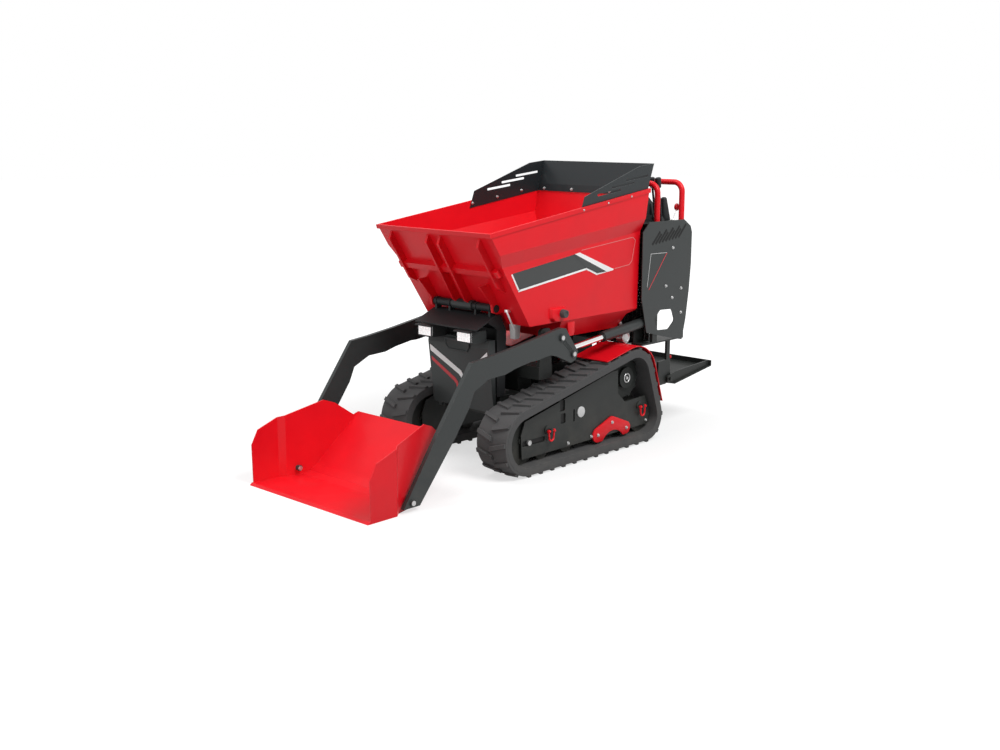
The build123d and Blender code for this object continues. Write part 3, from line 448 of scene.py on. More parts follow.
NODE_FINISHES = {
    "rubber": both("track"),
    "cast black": both("wheels", "sprocket"),
    "frame black": both("track_frame") + ["main_frame", "arm_saddle", "tower_frame", "tip_pivot",
                                          "platform_bracket", "platform"],
    # The hinge stand's darker black is painted shade under the hopper.
    "stand black": ["hinge_stand"],
    "gloss red": both("bogie_link", "tow_shackles", "fender") + ["skip_tub", "skip_front_ribs", "tip_ears",
                                                                 "front_hoop", "rear_hoop"],
    "shovel red": ["shovel"],
    "satin black": both("arm", "tower_panel", "lift_barrel") + ["tip_barrel", "hood"],
    "board black": both("skip_side_board") + ["skip_rear_board"],
    "chrome": both("lift_rod") + ["tip_rod"],
    "moulded black": ["console", "levers"],
    "engine grey": ["engine"],
    "lamp glass": ["lamps"],
}


def material(name):
    """A painted, rubber or metal finish with grain, cloudy tint, edge wear and dust."""
    if name in bpy.data.materials:
        return bpy.data.materials[name]
    if name == "lamp glass":
        return lamp_material()
    colours = bpy.context.scene.dumper_colours
    colour_name, rough, metallic, coat, scale, bump, wear, dust = FINISHES[name]
    base = tuple(getattr(colours, colour_name)) + (1.0,)
    made, tree, out = start_material(name)
    shader = node(tree, "ShaderNodeBsdfPrincipled", {"Metallic": metallic, "Coat Weight": coat,
                                                    "Coat Roughness": 0.12, "Specular IOR Level": 0.28})
    grain = grouped(tree, grain_group(), "Scale", scale)
    tinted = node(tree, "ShaderNodeHueSaturation", {"Color": base})
    tint = node(tree, "ShaderNodeMapRange", {"Value": grain.outputs["Cloud"], "From Min": 0.3,
                                             "From Max": 0.7, "To Min": 0.93, "To Max": 1.07})
    tree.links.new(tint.outputs["Result"], tinted.inputs["Value"])
    surface = tinted.outputs["Color"]
    for amount, group, over in ((wear, wear_group, colours.worn), (dust, dust_group, colours.dust)):
        if amount:
            mask = grouped(tree, group(), "Amount", amount).outputs["Mask"]
            mixed = node(tree, "ShaderNodeMix", {"Factor": mask, 6: surface, 7: tuple(over) + (1.0,)},
                         data_type="RGBA")
            surface = mixed.outputs[2]
    tree.links.new(surface, shader.inputs["Base Color"])
    gloss = node(tree, "ShaderNodeMapRange", {"Value": grain.outputs["Cloud"], "From Min": 0.3,
                                              "From Max": 0.7, "To Min": rough - 0.04,
                                              "To Max": rough + 0.05})
    tree.links.new(gloss.outputs["Result"], shader.inputs["Roughness"])
    relief = node(tree, "ShaderNodeBump",
                  {"Height": grain.outputs["Fine"], "Strength": bump, "Distance": 0.001})
    tree.links.new(relief.outputs["Normal"], shader.inputs["Normal"])
    tree.links.new(shader.outputs["BSDF"], out.inputs["Surface"])
    return made


def lamp_material():
    """Bright clear lens with fine vertical flutes."""
    made, tree, out = start_material("lamp glass")
    shader = node(tree, "ShaderNodeBsdfPrincipled", {"Roughness": 0.12, "Emission Strength": 0.42,
                                                    "Coat Weight": 0.6})
    place_in = node(tree, "ShaderNodeTexCoord").outputs["Object"]
    flutes = node(tree, "ShaderNodeTexWave", {"Vector": place_in, "Scale": 40.0, "Distortion": 0.0},
                  bands_direction="X")
    shade = node(tree, "ShaderNodeMapRange",
                 {"Value": flutes.outputs["Fac"], "To Min": 0.78, "To Max": 0.95}).outputs["Result"]
    colour = node(tree, "ShaderNodeCombineColor", {"Red": shade, "Green": shade, "Blue": shade})
    tree.links.new(colour.outputs["Color"], shader.inputs["Base Color"])
    tree.links.new(colour.outputs["Color"], shader.inputs["Emission Color"])
    relief = node(tree, "ShaderNodeBump",
                  {"Height": flutes.outputs["Fac"], "Strength": 0.3, "Distance": 0.001})
    tree.links.new(relief.outputs["Normal"], shader.inputs["Normal"])
    tree.links.new(shader.outputs["BSDF"], out.inputs["Surface"])
    return made


# Settings

def length(name, description, default):
    return bpy.props.FloatProperty(name=name, description=description, default=default, unit="LENGTH")


class DumperSizes(bpy.types.PropertyGroup):
    bolt_flats: length("Bolt head", "Bolt head across its flats", 0.0105)
    rim_flats: length("Rim bolt head", "Head of the bolts under the hopper's rim", 0.006)
    bolt_height: length("Bolt height", "Height of a bolt head", 0.006)
    stripe_proud: length("Stripe thickness", "How far a stripe stands proud", 0.0008)
    knob: length("Knob radius", "Radius of the hand knobs", 0.012)


def colour(name, description, default):
    return bpy.props.FloatVectorProperty(name=name, description=description, default=default, size=3,
                                         subtype="COLOR", min=0.0, max=1.0)


class DumperColours(bpy.types.PropertyGroup):
    red: colour("Red", "Hopper, shovel and fenders", (0.72, 0.004, 0.012))
    black: colour("Black", "Arms, tower panels and hood", (0.027, 0.031, 0.031))
    frame: colour("Frame black", "Main frame and track frames", (0.014, 0.016, 0.015))
    board: colour("Board black", "Hopper boards", (0.012, 0.016, 0.018))
    rubber: colour("Rubber", "Tracks", (0.070, 0.070, 0.071))
    # Painted shade: the colour of the louvre stripes, the slot boxes and the sheet behind the engine guard.
    deep: colour("Deep black", "Inside the louvres and recesses", (0.004, 0.004, 0.004))
    # Partly painted shade: on the hinge stand and lamp visors it darkens parts that sit in shade.
    shade: colour("Stand black", "Hinge stand and lamp visors", (0.010, 0.011, 0.012))
    steel: colour("Steel", "Bolt heads and pin caps", (0.48, 0.48, 0.48))
    zinc: colour("Zinc", "Fittings and rods", (0.78, 0.78, 0.78))
    cap: colour("Cap grey", "Plastic caps", (0.62, 0.62, 0.62))
    engine: colour("Engine grey", "Engine block", (0.12, 0.12, 0.12))
    white: colour("White", "White stripes", (0.86, 0.86, 0.86))
    stripe: colour("Stripe red", "Red stripes", (0.55, 0.03, 0.04))
    stripe_dark: colour("Stripe black", "Dark field of the side stripe", (0.035, 0.038, 0.038))
    line: colour("Line", "Thin outlines", (0.70, 0.22, 0.22))
    worn: colour("Worn edge", "Bare metal on worn edges", (0.30, 0.29, 0.28))
    dust: colour("Dust", "Fine dust near the ground", (0.28, 0.25, 0.21))


# Operators

class DUMPER_OT_finishes(bpy.types.Operator):
    """Gives every modelled part of the machine its finish"""
    bl_idname = "dumper.finishes"
    bl_label = "Finishes"

    def execute(self, context):
        for finish, names in NODE_FINISHES.items():
            for name in names:
                obj = frame["nodes"][name]
                made = material(finish)
                if not obj.material_slots:
                    obj.data.materials.append(made)
                for index in range(len(obj.material_slots)):
                    obj.material_slots[index].material = made
        return {"FINISHED"}


def model_bolt(flats, height, name="bolt_pattern"):
    """A hexagon head on a round washer."""
    radius = flats / math.sqrt(3)
    washer = start_rod(name, (0, 0, 0), (0, 0, 0.002), radius * 1.35)
    soften(washer, 0.0006, 1)
    head = start_rod("head", (0, 0, 0.0019), (0, 0, height), radius, sides=6)
    pick(head, facing((0, 0, 1)))
    bpy.ops.mesh.inset(thickness=radius * 0.12, depth=0)
    bpy.ops.transform.translate(value=(0, 0, 0.0012))
    clear()
    soften(head, 0.0004, 1)
    return join([washer, head], name)


BOLTS = {
    "chassis": [(PLATE_X, 0.014, 0.093, 1), (PLATE_X, 0.184, 0.094, 1), (PLATE_X, 0.612, 0.100, 1),
                (LINK_X, 0.225, 0.094, 1), (LINK_X, 0.332, 0.139, 1), (LINK_X, 0.444, 0.093, 1),
                (PANEL_X, 0.813, 0.950, 1), (PANEL_X, 0.762, 0.762, 1), (PANEL_X, 0.891, 0.739, 1),
                (PANEL_X, 0.817, 0.698, 1), (PANEL_X, 0.894, 0.615, 1)],
    "skip": [(BOARD_X, 0.116, 1.171, -1), (BOARD_X, 0.293, 1.195, -1), (BOARD_X, 0.473, 1.220, -1)],
    "rim": [(0.367, 0.114, 1.1725, 1), (0.367, 0.291, 1.196, 1), (0.367, 0.465, 1.219, 1)],
}


class DUMPER_OT_fasteners(bpy.types.Operator):
    """Adds the hexagon bolts of the frame, tower and hopper boards"""
    bl_idname = "dumper.fasteners"
    bl_label = "Fasteners"

    def execute(self, context):
        pattern = model_bolt(context.scene.dumper_sizes.bolt_flats, context.scene.dumper_sizes.bolt_height)
        small = model_bolt(context.scene.dumper_sizes.rim_flats, 0.0035)
        for body, rows in BOLTS.items():
            places = []
            for x, y, z, way in rows:
                places.append(((x, y, z), (way, 0, 0)))
                places.append(((-x, y, z), (-way, 0, 0)))
            if body == "skip":
                for x in (-0.31, -0.124, 0.124, 0.31):
                    places.append(((x, 0.6011, 1.228), (0, -1, 0.18)))
            bolts = join(stamp(small if body == "rim" else pattern, places), "bolts_" + body)
            place(bolts, "skip" if body == "rim" else body, "bolt zinc", "rod_chrome")
        drop(pattern)
        drop(small)
        return {"FINISHED"}


class DUMPER_OT_side_stripes(bpy.types.Operator):
    """Adds the blank striped panel on each side of the hopper"""
    bl_idname = "dumper.side_stripes"
    bl_label = "Hopper stripes"

    def execute(self, context):
        proud = context.scene.dumper_sizes.stripe_proud
        low = 0.3355
        white = [cut_plate("white", bar(start, end, width), low, 0.3382) for start, end, width in (
            ((-0.336, 0.914), (-0.290, 0.838), 0.008), ((-0.294, 0.837), (0.173, 0.896), 0.009),
            ((0.172, 0.897), (0.252, 0.864), 0.009), ((0.250, 0.865), (0.372, 0.877), 0.008))]
        white.append(cut_plate("white", [(0.088, 0.971), (0.122, 0.976), (0.376, 0.877), (0.322, 0.871)],
                               low, 0.3384))
        dark = [cut_plate("dark", outline, low, 0.3378 + proud / 2) for outline in (
            [(-0.331, 0.917), (0.080, 0.969), (0.173, 0.900), (-0.288, 0.842)],
            [(0.078, 0.969), (0.088, 0.971), (0.322, 0.871), (0.252, 0.868), (0.171, 0.900)])]
        line = [cut_plate("line", bar(start, end, 0.0025), low, 0.3387) for start, end in (
            ((0.135, 0.985), (0.520, 1.020)), ((0.520, 1.020), (0.540, 1.005)),
            ((0.540, 1.006), (0.516, 0.905)), ((0.516, 0.906), (0.495, 0.889)),
            ((0.496, 0.889), (0.384, 0.879)))]
        for parts, name, finish in ((white, "side_stripe_white", "stripe white"),
                                    (dark, "side_stripe_black", "stripe black"),
                                    (line, "side_stripe_line", "stripe line")):
            pair(join(parts, name), name, "skip", finish)
        return {"FINISHED"}


def on_hood(obj):
    """Leans a piece made on an upright plane against the hood's front."""
    turn = Matrix.Translation((0, *HOOD_FRONT)) @ Matrix.Rotation(HOOD_TILT, 4, "X")
    obj.data.transform(turn @ Matrix.Translation((0, -HOOD_FRONT[0], -HOOD_FRONT[1])))
    return obj


class DUMPER_OT_hood_stripes(bpy.types.Operator):
    """Adds the white and red stripes on the hood"""
    bl_idname = "dumper.hood_stripes"
    bl_label = "Hood stripes"

    def execute(self, context):
        proud = context.scene.dumper_sizes.stripe_proud
        white = ([(-0.188, 0.545), (-0.188, 0.514), (-0.010, 0.422), (0.008, 0.440)],
                 [(-0.010, 0.422), (0.008, 0.440), (0.021, 0.416), (0.004, 0.408)],
                 [(0.004, 0.409), (0.021, 0.417), (0.024, 0.350), (0.012, 0.334)],
                 [(0.036, 0.404), (0.044, 0.392), (0.066, 0.437), (0.056, 0.447)],
                 [(0.056, 0.447), (0.066, 0.437), (0.188, 0.527), (0.188, 0.552)])
        red = ([(-0.185, 0.487), (-0.183, 0.467), (-0.046, 0.384), (-0.036, 0.400)],
               [(-0.046, 0.384), (-0.036, 0.400), (-0.021, 0.384), (-0.033, 0.370)],
               [(-0.033, 0.371), (-0.021, 0.385), (-0.016, 0.316), (-0.024, 0.304)])
        for outlines, name, finish in ((white, "hood_stripe_white", "stripe white"),
                                       (red, "hood_stripe_red", "stripe red")):
            parts = [cut_plate(name, outline, HOOD_FRONT[0] - proud, HOOD_FRONT[0] + 0.001, 1)
                     for outline in outlines]
            place(on_hood(join(parts, name)), "hood", finish)
        return {"FINISHED"}


class DUMPER_OT_tower_lines(bpy.types.Operator):
    """Adds the louvres as stripes of painted shade, and the outlines of the blank triangle on each tower
    panel
    """
    bl_idname = "dumper.tower_lines"
    bl_label = "Tower lines"

    def execute(self, context):
        x0, x1 = PANEL_X - 0.001, PANEL_X + context.scene.dumper_sizes.stripe_proud
        grey = [cut_plate("g", bar((0.633, 0.932), (0.765, 0.929), 0.0022), x0, x1),
                cut_plate("g", bar((0.633, 0.932), (0.608, 0.770), 0.0022), x0, x1)]
        red = [cut_plate("r", bar((0.765, 0.929), (0.622, 0.756), 0.0040), x0, x1)]
        # The louvres are flat near-black stripes: painted shade of the openings.
        louvres = []
        for i in range(9):
            rise = 0.062 if i % 2 == 0 else 0.046
            start = (0.6425 + i * 0.027, 0.975 + i * 0.003)
            louvres.append(cut_plate("v", bar(start, (start[0] + rise, start[1] + rise), 0.0115), x0, x1))
        for parts, name, finish in ((grey, "tower_line_grey", "cap grey"),
                                    (red, "tower_line_red", "stripe red"),
                                    (louvres, "tower_louvres", "deep black")):
            pair(join(parts, name), name, "chassis", finish)
        return {"FINISHED"}


class DUMPER_OT_lamps(bpy.types.Operator):
    """Adds bezels, light cells and visors to the two work lamps"""
    bl_idname = "dumper.lamps"
    bl_label = "Lamps"

    def execute(self, context):
        bezels, frames, cells, visors = [], [], [], []
        for x in (-LAMP_X, LAMP_X):
            rim = start_box("rim", (x - 0.0475, -0.4262, 0.5960), (x + 0.0475, -0.4236, 0.6500))
            frames.append(soften(rim, 0.0008, 1))
            bezel = start_box("bezel", (x - 0.040, -0.4285, 0.603), (x + 0.040, -0.4255, 0.643))
            sink(bezel, facing((0, -1, 0)), 0.003, 0.0022)
            bezels.append(soften(bezel, 0.0006, 1))
            for i in range(4):
                for k in range(2):
                    centre = (x - 0.0285 + i * 0.019, -0.4265, 0.613 + k * 0.020)
                    cell = start_ball("cell", centre, 0.0075, (1, 0.35, 1))
                    cells.append(cell)
            visor = start_box("visor", (x - 0.048, -0.440, 0.6505), (x + 0.048, -0.395, 0.654))
            pick(visor, facing((0, -1, 0)))
            bpy.ops.mesh.extrude_region_move(TRANSFORM_OT_translate={"value": (0, -0.005, -0.004)})
            clear()
            visors.append(soften(visor, 0.0010))
        place(join(bezels, "lamp_bezels"), "hood", "lamp glass", "lamp_clear")
        # The lamp frames and visors are darkened with painted shade.
        place(join(frames, "lamp_frames"), "hood", "stand black", "hood_black")
        place(join(cells, "lamp_cells"), "hood", "lamp glass", "lamp_clear")
        place(join(visors, "lamp_visors"), "hood", "stand black", "hood_black")
        return {"FINISHED"}


class DUMPER_OT_hood_trim(bpy.types.Operator):
    """Adds the hood's raised upper panel and its latch"""
    bl_idname = "dumper.hood_trim"
    bl_label = "Hood trim"

    def execute(self, context):
        panel = cut_plate("hood_panel", [(-0.080, 0.594), (0.080, 0.594), (0.080, 0.560), (0.060, 0.535),
                                         (-0.060, 0.535), (-0.080, 0.560)], HOOD_FRONT[0] - 0.006,
                          HOOD_FRONT[0] + 0.002, 1)
        sink(panel, facing((0, -1, 0)), 0.008, 0.004)
        on_hood(soften(panel, 0.002))
        place(panel, "hood", "moulded black", "hood_black")
        latch = start_box("hood_latch", (0.158, HOOD_FRONT[0] - 0.012, 0.516),
                          (0.192, HOOD_FRONT[0] + 0.001, 0.528))
        soften(squeeze(latch, facing((0, -1, 0)), (0.8, 1, 0.6)), 0.0018)
        middle = Matrix.Translation((0.175, 0, 0.522))
        latch.data.transform(middle @ Matrix.Rotation(math.radians(-28), 4, "Y") @ middle.inverted())
        place(on_hood(latch), "hood", "zinc", "rod_chrome")
        return {"FINISHED"}


class DUMPER_OT_track_trim(bpy.types.Operator):
    """Adds caps, hub rings, tread, shackles and rocking links to both track frames"""
    bl_idname = "dumper.track_trim"
    bl_label = "Track frame trim"

    def execute(self, context):
        cap = start_rod("cap", (PLATE_X - 0.001, 0.103, 0.229), (PLATE_X + 0.005, 0.103, 0.229), 0.026,
                        sides=48)
        soften(step(cap, facing((1, 0, 0)), 0.004, 0.0012), 0.0012)
        tension = start_rod("tension", (PLATE_X - 0.012, -0.262, 0.148), (PLATE_X + 0.010, -0.262, 0.148),
                            0.012, sides=24)
        sink(tension, facing((1, 0, 0)), 0.004, 0.003)
        soften(tension, 0.001)
        hub = start_ring("hub", (0.3585, 0.470, 0.335), 0.021, 0.0035)
        pin = start_rod("pin", (0.356, 0.470, 0.335), (0.3615, 0.470, 0.335), 0.009, sides=6)
        soften(pin, 0.001, 1)
        for part, name, finish, slot in ((cap, "frame_cap", "cap grey", "rod_chrome"),
                                         (join([tension, hub, pin], "hub_ring"), "hub_ring", "bolt zinc",
                                          "rod_chrome")):
            pair(part, name, "chassis", finish, slot)
        brackets, bows = [], []
        for y in SHACKLE_Y:
            back = soften(start_rod("bracket", (PLATE_X - 0.001, y - 0.012, 0.186),
                                    (PLATE_X + 0.006, y - 0.012, 0.186), 0.019), 0.0015)
            lug = soften(start_box("lug", (PLATE_X, y - 0.007, 0.168), (0.395, y + 0.007, 0.190)), 0.003)
            brackets += [back, lug]
            bows += self.shackle(y)
        # Near-black boxes behind the slots in the track frame plates: painted shade of the hollow frame.
        darks = [start_box("dark", (0.3652, y0 + 0.0006, z0 + 0.0006), (0.3665, y1 - 0.0006, z1 - 0.0006))
                 for y0, y1, z0, z1 in SLOTS]
        for piece, name, finish, slot, stand_in in (
                (join([soften(dark, 0.0004, 1) for dark in darks], "darks"), "slot_backs", "deep black",
                 None, None),
                (self.carcass(), "tread_carcass", "rubber", "track_rubber", None),
                (join(brackets, "brackets"), "shackle_brackets", "frame black", "frame_black", None),
                (join(bows, "bows"), "shackle_bows", "gloss red", "link_red", "tow_shackles"),
                (self.link(), "roller_link", "gloss red", "link_red", "bogie_link")):
            pair(piece, name, "chassis", finish, slot, stand_in)
        return {"FINISHED"}

    def shackle(self, y):
        """A slim bow with flat eyes and a cross pin."""
        bow = start_ring("bow", (0.389, y, 0.149), 0.015, 0.0046)
        trim(bow, (0.389, y, 0.149), (0, 0, 1))
        parts = [outward(bow)]
        for side in (-1, 1):
            leg = start_rod("leg", (0.389, y + side * 0.015, 0.1485), (0.389, y + side * 0.018, 0.178),
                            0.0045, sides=16)
            eye = start_rod("eye", (0.389, y + side * 0.0125, 0.180), (0.389, y + side * 0.0225, 0.180),
                            0.0085, sides=24)
            parts += [soften(leg, 0.001), soften(eye, 0.0015)]
        pin = start_rod("pin", (0.389, y - 0.026, 0.180), (0.389, y + 0.026, 0.180), 0.0042, sides=16)
        return parts + [soften(pin, 0.0008, 1)]

    def link(self):
        """The rocking link with round ends and an arched underside."""
        link = hull("link", LINK_ENDS, 0.3733, LINK_X, sides=64)
        cut_away(link, start_rod("arch", (0.370, 0.341, -0.0015), (0.385, 0.341, -0.0015), 0.1005,
                                 sides=96))
        return soften(link, 0.0010)

    def carcass(self):
        """The raised rubber between the tread bars, rounded at its shoulders."""
        outer = soften(hull("tread_carcass", WHEELS, 0.2362, 0.4146, 0.038), 0.005, 3)
        cut_away(outer, hull("inside", WHEELS, 0.2300, 0.4200, 0.0238))
        bpy.ops.object.shade_smooth_by_angle(angle=math.radians(35))
        return outer


class DUMPER_OT_hopper_trim(bpy.types.Operator):
    """Adds the hopper's bumpers, prop rod, rest pads, hinge collar and rim bead"""
    bl_idname = "dumper.hopper_trim"
    bl_label = "Hopper trim"

    def execute(self, context):
        boss = cut_plate("boss", [(-0.085, 0.738), (0.022, 0.735), (0.022, 0.690), (0.000, 0.669),
                                  (-0.060, 0.669), (-0.085, 0.690)], 0.333, 0.352)
        soften(squeeze(boss, facing((1, 0, 0)), (1, 0.84, 0.84)), 0.003, 3)
        tab = cut_plate("tab", [(0.054, 0.6675), (0.106, 0.6675), (0.106, 0.600), (0.096, 0.590),
                                (0.066, 0.590)], 0.318, 0.326)
        soften(tab, 0.001)
        bumper = start_rod("bumper", (0.3515, -0.012, 0.708), (0.377, -0.012, 0.708), 0.020, sides=40,
                           tip=0.018)
        sink(bumper, facing((1, 0, 0)), 0.007, 0.003)
        soften(bumper, 0.002, 3)
        for parts, name, finish, slot in (([boss, tab], "side_boss", "gloss red", "skip_red"),
                                          ([bumper], "side_bumper", "rubber", "track_rubber")):
            pair(join(parts, name), name, "skip", finish, slot)
        rod = start_rod("rod", (0.254, -0.281, 0.738), (0.254, -0.231, 0.650), 0.005, sides=16)
        clip = start_box("clip", (0.246, -0.286, 0.732), (0.262, -0.262, 0.745))
        soften(clip, 0.001)
        place(join([soften(rod, 0.001), clip], "prop_rod"), "skip", "zinc", "rod_chrome")
        pads = []
        for x in (-0.223, 0.223):
            pad = start_box("pad", (x - 0.018, -0.212, 0.598), (x + 0.018, -0.172, 0.6678))
            pads.append(soften(squeeze(pad, facing((0, 0, -1)), (0.8, 0.8, 1)), 0.003))
        place(join(pads, "rest_pads"), "skip", "cap grey", "engine_grey")
        sleeve = start_rod("hinge_collar", (-0.063, -0.295, 0.745), (0.063, -0.295, 0.745), 0.0246,
                           sides=48)
        step(sleeve, lambda centre, normal: abs(normal.x) > 0.9, 0.003, 0.0006)
        place(soften(sleeve, 0.0006, 1), "skip", "satin black", "stand_black")
        rims = []
        for side in (-1, 1):
            x = side * 0.3638
            rims.append(start_rod("rim", (x, -0.4985, 1.1005), (x, 0.6135, 1.2482), 0.0034, sides=16))
        rims.append(start_rod("rim", (-0.3638, -0.4985, 1.1005), (0.3638, -0.4985, 1.1005), 0.0034,
                              sides=16))
        place(join([soften(rim, 0.0012) for rim in rims], "rim_bead"), "skip", "gloss red", "skip_red")
        return {"FINISHED"}


class DUMPER_OT_arm_trim(bpy.types.Operator):
    """Adds bright pin caps and the slot cover between the pins of each arm"""
    bl_idname = "dumper.arm_trim"
    bl_label = "Arm trim"

    def execute(self, context):
        caps = []
        for y, z in ((-0.074, 0.609), (0.008, 0.524), (-0.999, 0.040)):
            cap = start_rod("cap", (0.4115, y, z), (0.4140, y, z), 0.0110, sides=32)
            caps.append(soften(step(cap, facing((1, 0, 0)), 0.003, 0.0008), 0.0008))
        caps.append(soften(start_rod("head", (0.340, -0.999, 0.040), (0.3445, -0.999, 0.040), 0.012,
                                     sides=6), 0.0008, 1))
        pair(join(caps, "pin_caps"), "pin_caps", "arms", "bolt zinc", "rod_chrome")
        cover = cut_plate("cover", bar((-0.058, 0.590), (-0.006, 0.541), 0.020), 0.403, 0.4055)
        sink(cover, facing((1, 0, 0)), 0.003, 0.0015)
        pair(soften(cover, 0.001), "slot_cover", "arms", "moulded black", "arm_black")
        return {"FINISHED"}


class DUMPER_OT_controls(bpy.types.Operator):
    """Adds the throttle, the lock knobs, the lever boots and the hand levers"""
    bl_idname = "dumper.controls"
    bl_label = "Controls"

    def execute(self, context):
        radius = context.scene.dumper_sizes.knob
        stem = soften(start_rod("stem", (0.300, 0.896, 1.0755), (0.300, 0.923, 1.132), 0.0035, sides=16),
                      0.0005, 1)
        nut = soften(start_rod("nut", (0.300, 0.894, 1.0755), (0.300, 0.897, 1.083), 0.009, sides=6),
                     0.0008, 1)
        place(join([stem, nut], "throttle_stem"), "chassis", "zinc", "rod_chrome")
        throttle = start_ball("throttle_knob", (0.300, 0.927, 1.143), radius * 1.3, (0.9, 0.9, 1.25))
        outward(squeeze(throttle, lambda centre, normal: normal.z < -0.9, (0.7, 0.7, 1)))
        place(soften(throttle, 0.0005, 1), "chassis", "knob red", "hoop_red")
        knobs = []
        for x in (-0.299, 0.299):
            knob = start_ball("knob", (x, 0.902, 0.374), radius * 0.95, (1, 0.5, 1))
            knobs.append(soften(squeeze(knob, facing((0, 1, 0)), (0.8, 1, 0.8)), 0.0004, 1))
        place(join(knobs, "lock_knobs"), "chassis", "knob red", "hoop_red")
        boots = []
        for x in LEVER_X:
            for i in range(4):
                low = 1.0840 + i * 0.006
                boot = start_rod("boot", (x, 0.790 - i * 0.0012, low),
                                 (x, 0.789 - i * 0.0012, low + 0.0062),
                                 0.0165 - i * 0.003, sides=24, tip=0.0125 - i * 0.003)
                boots.append(soften(boot, 0.001, 2))
        for x, tall, wide in ((0.302, 0.109, 0.030), (-0.302, 0.109, 0.030), (0.221, 0.076, 0.013)):
            hood = start_rod("hood", (x, 0.822, 1.083), (x, 0.812, 1.083 + tall), wide, sides=20,
                             tip=wide * 0.5)
            pick(hood, facing((0, 0, 1)))
            bpy.ops.mesh.inset(thickness=wide * 0.2, depth=0)
            bpy.ops.transform.translate(value=(0, 0, 0.006))
            boots.append(soften(hood, 0.003, 3))
        place(join(boots, "lever_boots"), "chassis", "stand black", "lever_black")
        levers = []
        for x in LEVER_X:
            levers.append(soften(start_rod("lever", (x, 0.790, 1.078), (x, 0.7580, 1.252), 0.0055,
                                           sides=16), 0.0006, 1))
            grip = start_rod("grip", (x, 0.7585, 1.247), (x, 0.7490, 1.294), 0.0125, sides=24, tip=0.0160)
            levers.append(soften(step(grip, facing((0, -0.2, 0.98)), 0.005, 0.003), 0.002, 3))
        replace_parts(place(join(levers, "hand_levers"), "chassis", "stand black", "lever_black"), "levers")
        return {"FINISHED"}


class DUMPER_OT_tower_trim(bpy.types.Operator):
    """Adds the wire guard before the engine, a sheet of painted shade behind it, and the valve beside it"""
    bl_idname = "dumper.tower_trim"
    bl_label = "Tower trim"

    def execute(self, context):
        clear()
        bpy.ops.mesh.primitive_grid_add(x_subdivisions=26, y_subdivisions=22, size=1, location=(0, *GUARD),
                                        rotation=(math.radians(90), 0, 0))
        guard = settle("engine_guard")
        guard.data.transform(Matrix.Translation((0, *GUARD)) @ Matrix.Diagonal((0.68, 1, 0.56, 1))
                             @ Matrix.Translation((0, -GUARD[0], -GUARD[1])))
        wires = guard.modifiers.new("wires", "WIREFRAME")
        wires.thickness = 0.006
        wires.use_boundary = True
        bpy.ops.object.modifier_apply(modifier=wires.name)
        place(outward(guard), "chassis", "moulded black", "panel_black")
        # A near-black sheet behind the wire guard: painted shade of the engine bay.
        sheet = start_box("guard_sheet", (-0.338, 0.6675, 0.487), (0.338, 0.6695, 1.0670))
        sink(sheet, facing((0, -1, 0)), 0.02, 0.0008)
        place(soften(sheet, 0.0006, 1), "chassis", "deep black", "panel_black")
        stud = soften(start_rod("stud", (0, 0, 0), (0, 0, 0.003), 0.0035, sides=12, tip=0.002), 0.0005, 1)
        spots = [((side * (0.245 + 0.018 * i + 0.009 * (k % 2)), 0.6618, 0.665 + 0.016 * k), (0, -1, 0))
                 for side in (-1, 1) for i in range(5) for k in range(10)]
        place(join(stamp(stud, spots), "guard_studs"), "chassis", "zinc", "rod_chrome")
        drop(stud)
        strap = soften(cut_plate("strap", bar((0.490, 0.602), (0.520, 0.540), 0.017), 0.288, 0.298), 0.002)
        pipe = start_ring("pipe", (0.285, 0.536, 0.531), 0.034, 0.0058)
        trim(pipe, (0.285, 0.536, 0.531), (0, -1, 0))
        outward(pipe)
        valve = start_rod("valve", (0.262, 0.530, 0.522), (0.302, 0.530, 0.522), 0.030, sides=40)
        pick(valve, facing((1, 0, 0)))
        bpy.ops.mesh.inset(thickness=0.006, depth=0.003)
        bpy.ops.mesh.inset(thickness=0.006, depth=-0.005)
        clear()
        soften(valve, 0.0015)
        arm = start_box("arm", (0.264, 0.545, 0.4785), (0.292, 0.5895, 0.4855))
        squeeze(arm, facing((0, -1, 0)), (0.7, 1, 1))
        post = soften(start_rod("post", (0.278, 0.548, 0.4795), (0.278, 0.548, 0.505), 0.010, sides=24),
                      0.001)
        place(join([valve, soften(arm, 0.001), post, strap, pipe], "side_valve"), "chassis", "bolt zinc",
              "rod_chrome")
        return {"FINISHED"}


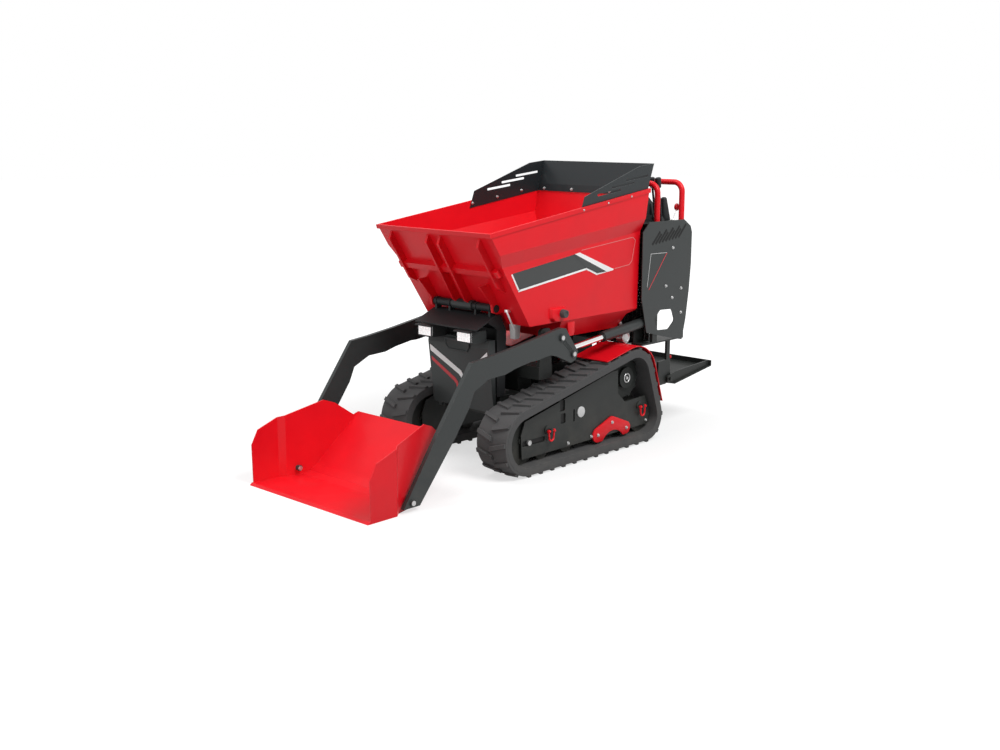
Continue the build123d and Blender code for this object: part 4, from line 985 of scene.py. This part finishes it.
class DUMPER_OT_stage(bpy.types.Operator):
    """Adds the pale floor, the soft lights and the camera"""
    bl_idname = "dumper.stage"
    bl_label = "Stage"

    def execute(self, context):
        scene = context.scene
        scene.view_settings.view_transform = "Standard"
        clear()
        bpy.ops.mesh.primitive_circle_add(vertices=96, radius=30, fill_type="NGON", location=(0, 0, 0))
        floor = settle("floor")
        floor.data.materials.append(self.floor_material())
        for name, position, size, watts in LIGHTS:
            self.light(name, position, size, watts)
        self.world(scene)
        camera = bpy.data.cameras.new("camera")
        camera.lens = 44.43
        camera.sensor_width = 36
        camera.clip_end = 200
        holder = bpy.data.objects.new("camera", camera)
        holder.location = (4.0064, -4.2520, 1.5750)
        holder.rotation_euler = (math.radians(78.330), 0, math.radians(43.684))
        scene.collection.objects.link(holder)
        scene.camera = holder
        return {"FINISHED"}

    def light(self, name, position, size, watts):
        lamp = bpy.data.lights.new(name, "AREA")
        lamp.shape = "DISK"
        lamp.size = size
        lamp.energy = watts
        holder = bpy.data.objects.new(name, lamp)
        holder.location = position
        aim = Vector((0, 0, 0.5)) - Vector(position)
        holder.rotation_euler = aim.to_track_quat("-Z", "Y").to_euler()
        bpy.context.scene.collection.objects.link(holder)

    def seen(self, tree):
        """One for rays from the camera, from gloss and through glass, else nought."""
        path = node(tree, "ShaderNodeLightPath")
        first = node(tree, "ShaderNodeMath",
                     {0: path.outputs["Is Camera Ray"], 1: path.outputs["Is Glossy Ray"]},
                     operation="MAXIMUM")
        second = node(tree, "ShaderNodeMath",
                      {0: first.outputs["Value"], 1: path.outputs["Is Transmission Ray"]},
                      operation="MAXIMUM")
        return second.outputs["Value"]

    def floor_material(self):
        made, tree, out = start_material("pale floor")
        matt = node(tree, "ShaderNodeBsdfDiffuse", {"Color": (0.38, 0.38, 0.38, 1)})
        glow = node(tree, "ShaderNodeEmission", {"Color": (1, 1, 1, 1)})
        spot = node(tree, "ShaderNodeTexCoord").outputs["Object"]
        far = node(tree, "ShaderNodeVectorMath", {0: spot}, operation="LENGTH").outputs["Value"]
        level = node(tree, "ShaderNodeMapRange",
                     {"Value": far, "From Min": 0.8, "From Max": 4.5, "To Min": 0.62, "To Max": 1.0})
        strength = node(tree, "ShaderNodeMath", {0: self.seen(tree), 1: level.outputs["Result"]},
                        operation="MULTIPLY")
        tree.links.new(strength.outputs["Value"], glow.inputs["Strength"])
        both = node(tree, "ShaderNodeAddShader", {0: matt.outputs["BSDF"], 1: glow.outputs["Emission"]})
        tree.links.new(both.outputs["Shader"], out.inputs["Surface"])
        return made

    def world(self, scene):
        world = bpy.data.worlds.new("studio")
        scene.world = world
        world.use_nodes = True
        tree = world.node_tree
        tree.nodes.clear()
        out = node(tree, "ShaderNodeOutputWorld")
        backdrop = node(tree, "ShaderNodeBackground", {"Color": (1, 1, 1, 1)})
        strength = node(tree, "ShaderNodeMapRange",
                        {"Value": self.seen(tree), "To Min": 0.32, "To Max": 1.0})
        tree.links.new(strength.outputs["Result"], backdrop.inputs["Strength"])
        tree.links.new(backdrop.outputs["Background"], out.inputs["Surface"])


class DUMPER_PT_panel(bpy.types.Panel):
    bl_idname = "DUMPER_PT_panel"
    bl_label = "Dumper"
    bl_space_type = "VIEW_3D"
    bl_region_type = "UI"
    bl_category = "Dumper"

    def draw(self, context):
        for settings in (context.scene.dumper_sizes, context.scene.dumper_colours):
            for key in settings.bl_rna.properties.keys():
                if key not in ("rna_type", "name"):
                    self.layout.prop(settings, key)
        for operator in OPERATORS:
            self.layout.operator(operator.bl_idname)


OPERATORS = (DUMPER_OT_stage, DUMPER_OT_finishes, DUMPER_OT_fasteners, DUMPER_OT_side_stripes,
             DUMPER_OT_hood_stripes, DUMPER_OT_tower_lines, DUMPER_OT_lamps, DUMPER_OT_hood_trim,
             DUMPER_OT_track_trim, DUMPER_OT_hopper_trim, DUMPER_OT_arm_trim, DUMPER_OT_controls,
             DUMPER_OT_tower_trim)
CLASSES = (DumperSizes, DumperColours) + OPERATORS + (DUMPER_PT_panel,)


def register():
    for cls in CLASSES:
        bpy.utils.register_class(cls)
    bpy.types.Scene.dumper_sizes = bpy.props.PointerProperty(type=DumperSizes)
    bpy.types.Scene.dumper_colours = bpy.props.PointerProperty(type=DumperColours)


def unregister():
    del bpy.types.Scene.dumper_colours
    del bpy.types.Scene.dumper_sizes
    for cls in reversed(CLASSES):
        bpy.utils.unregister_class(cls)


def main():
    register()
    bpy.ops.dumper.stage()
    bpy.ops.dumper.finishes()
    bpy.ops.dumper.fasteners()
    bpy.ops.dumper.side_stripes()
    bpy.ops.dumper.hood_stripes()
    bpy.ops.dumper.tower_lines()
    bpy.ops.dumper.lamps()
    bpy.ops.dumper.hood_trim()
    bpy.ops.dumper.track_trim()
    bpy.ops.dumper.hopper_trim()
    bpy.ops.dumper.arm_trim()
    bpy.ops.dumper.controls()
    bpy.ops.dumper.tower_trim()


if __name__ == "__main__":
    main()
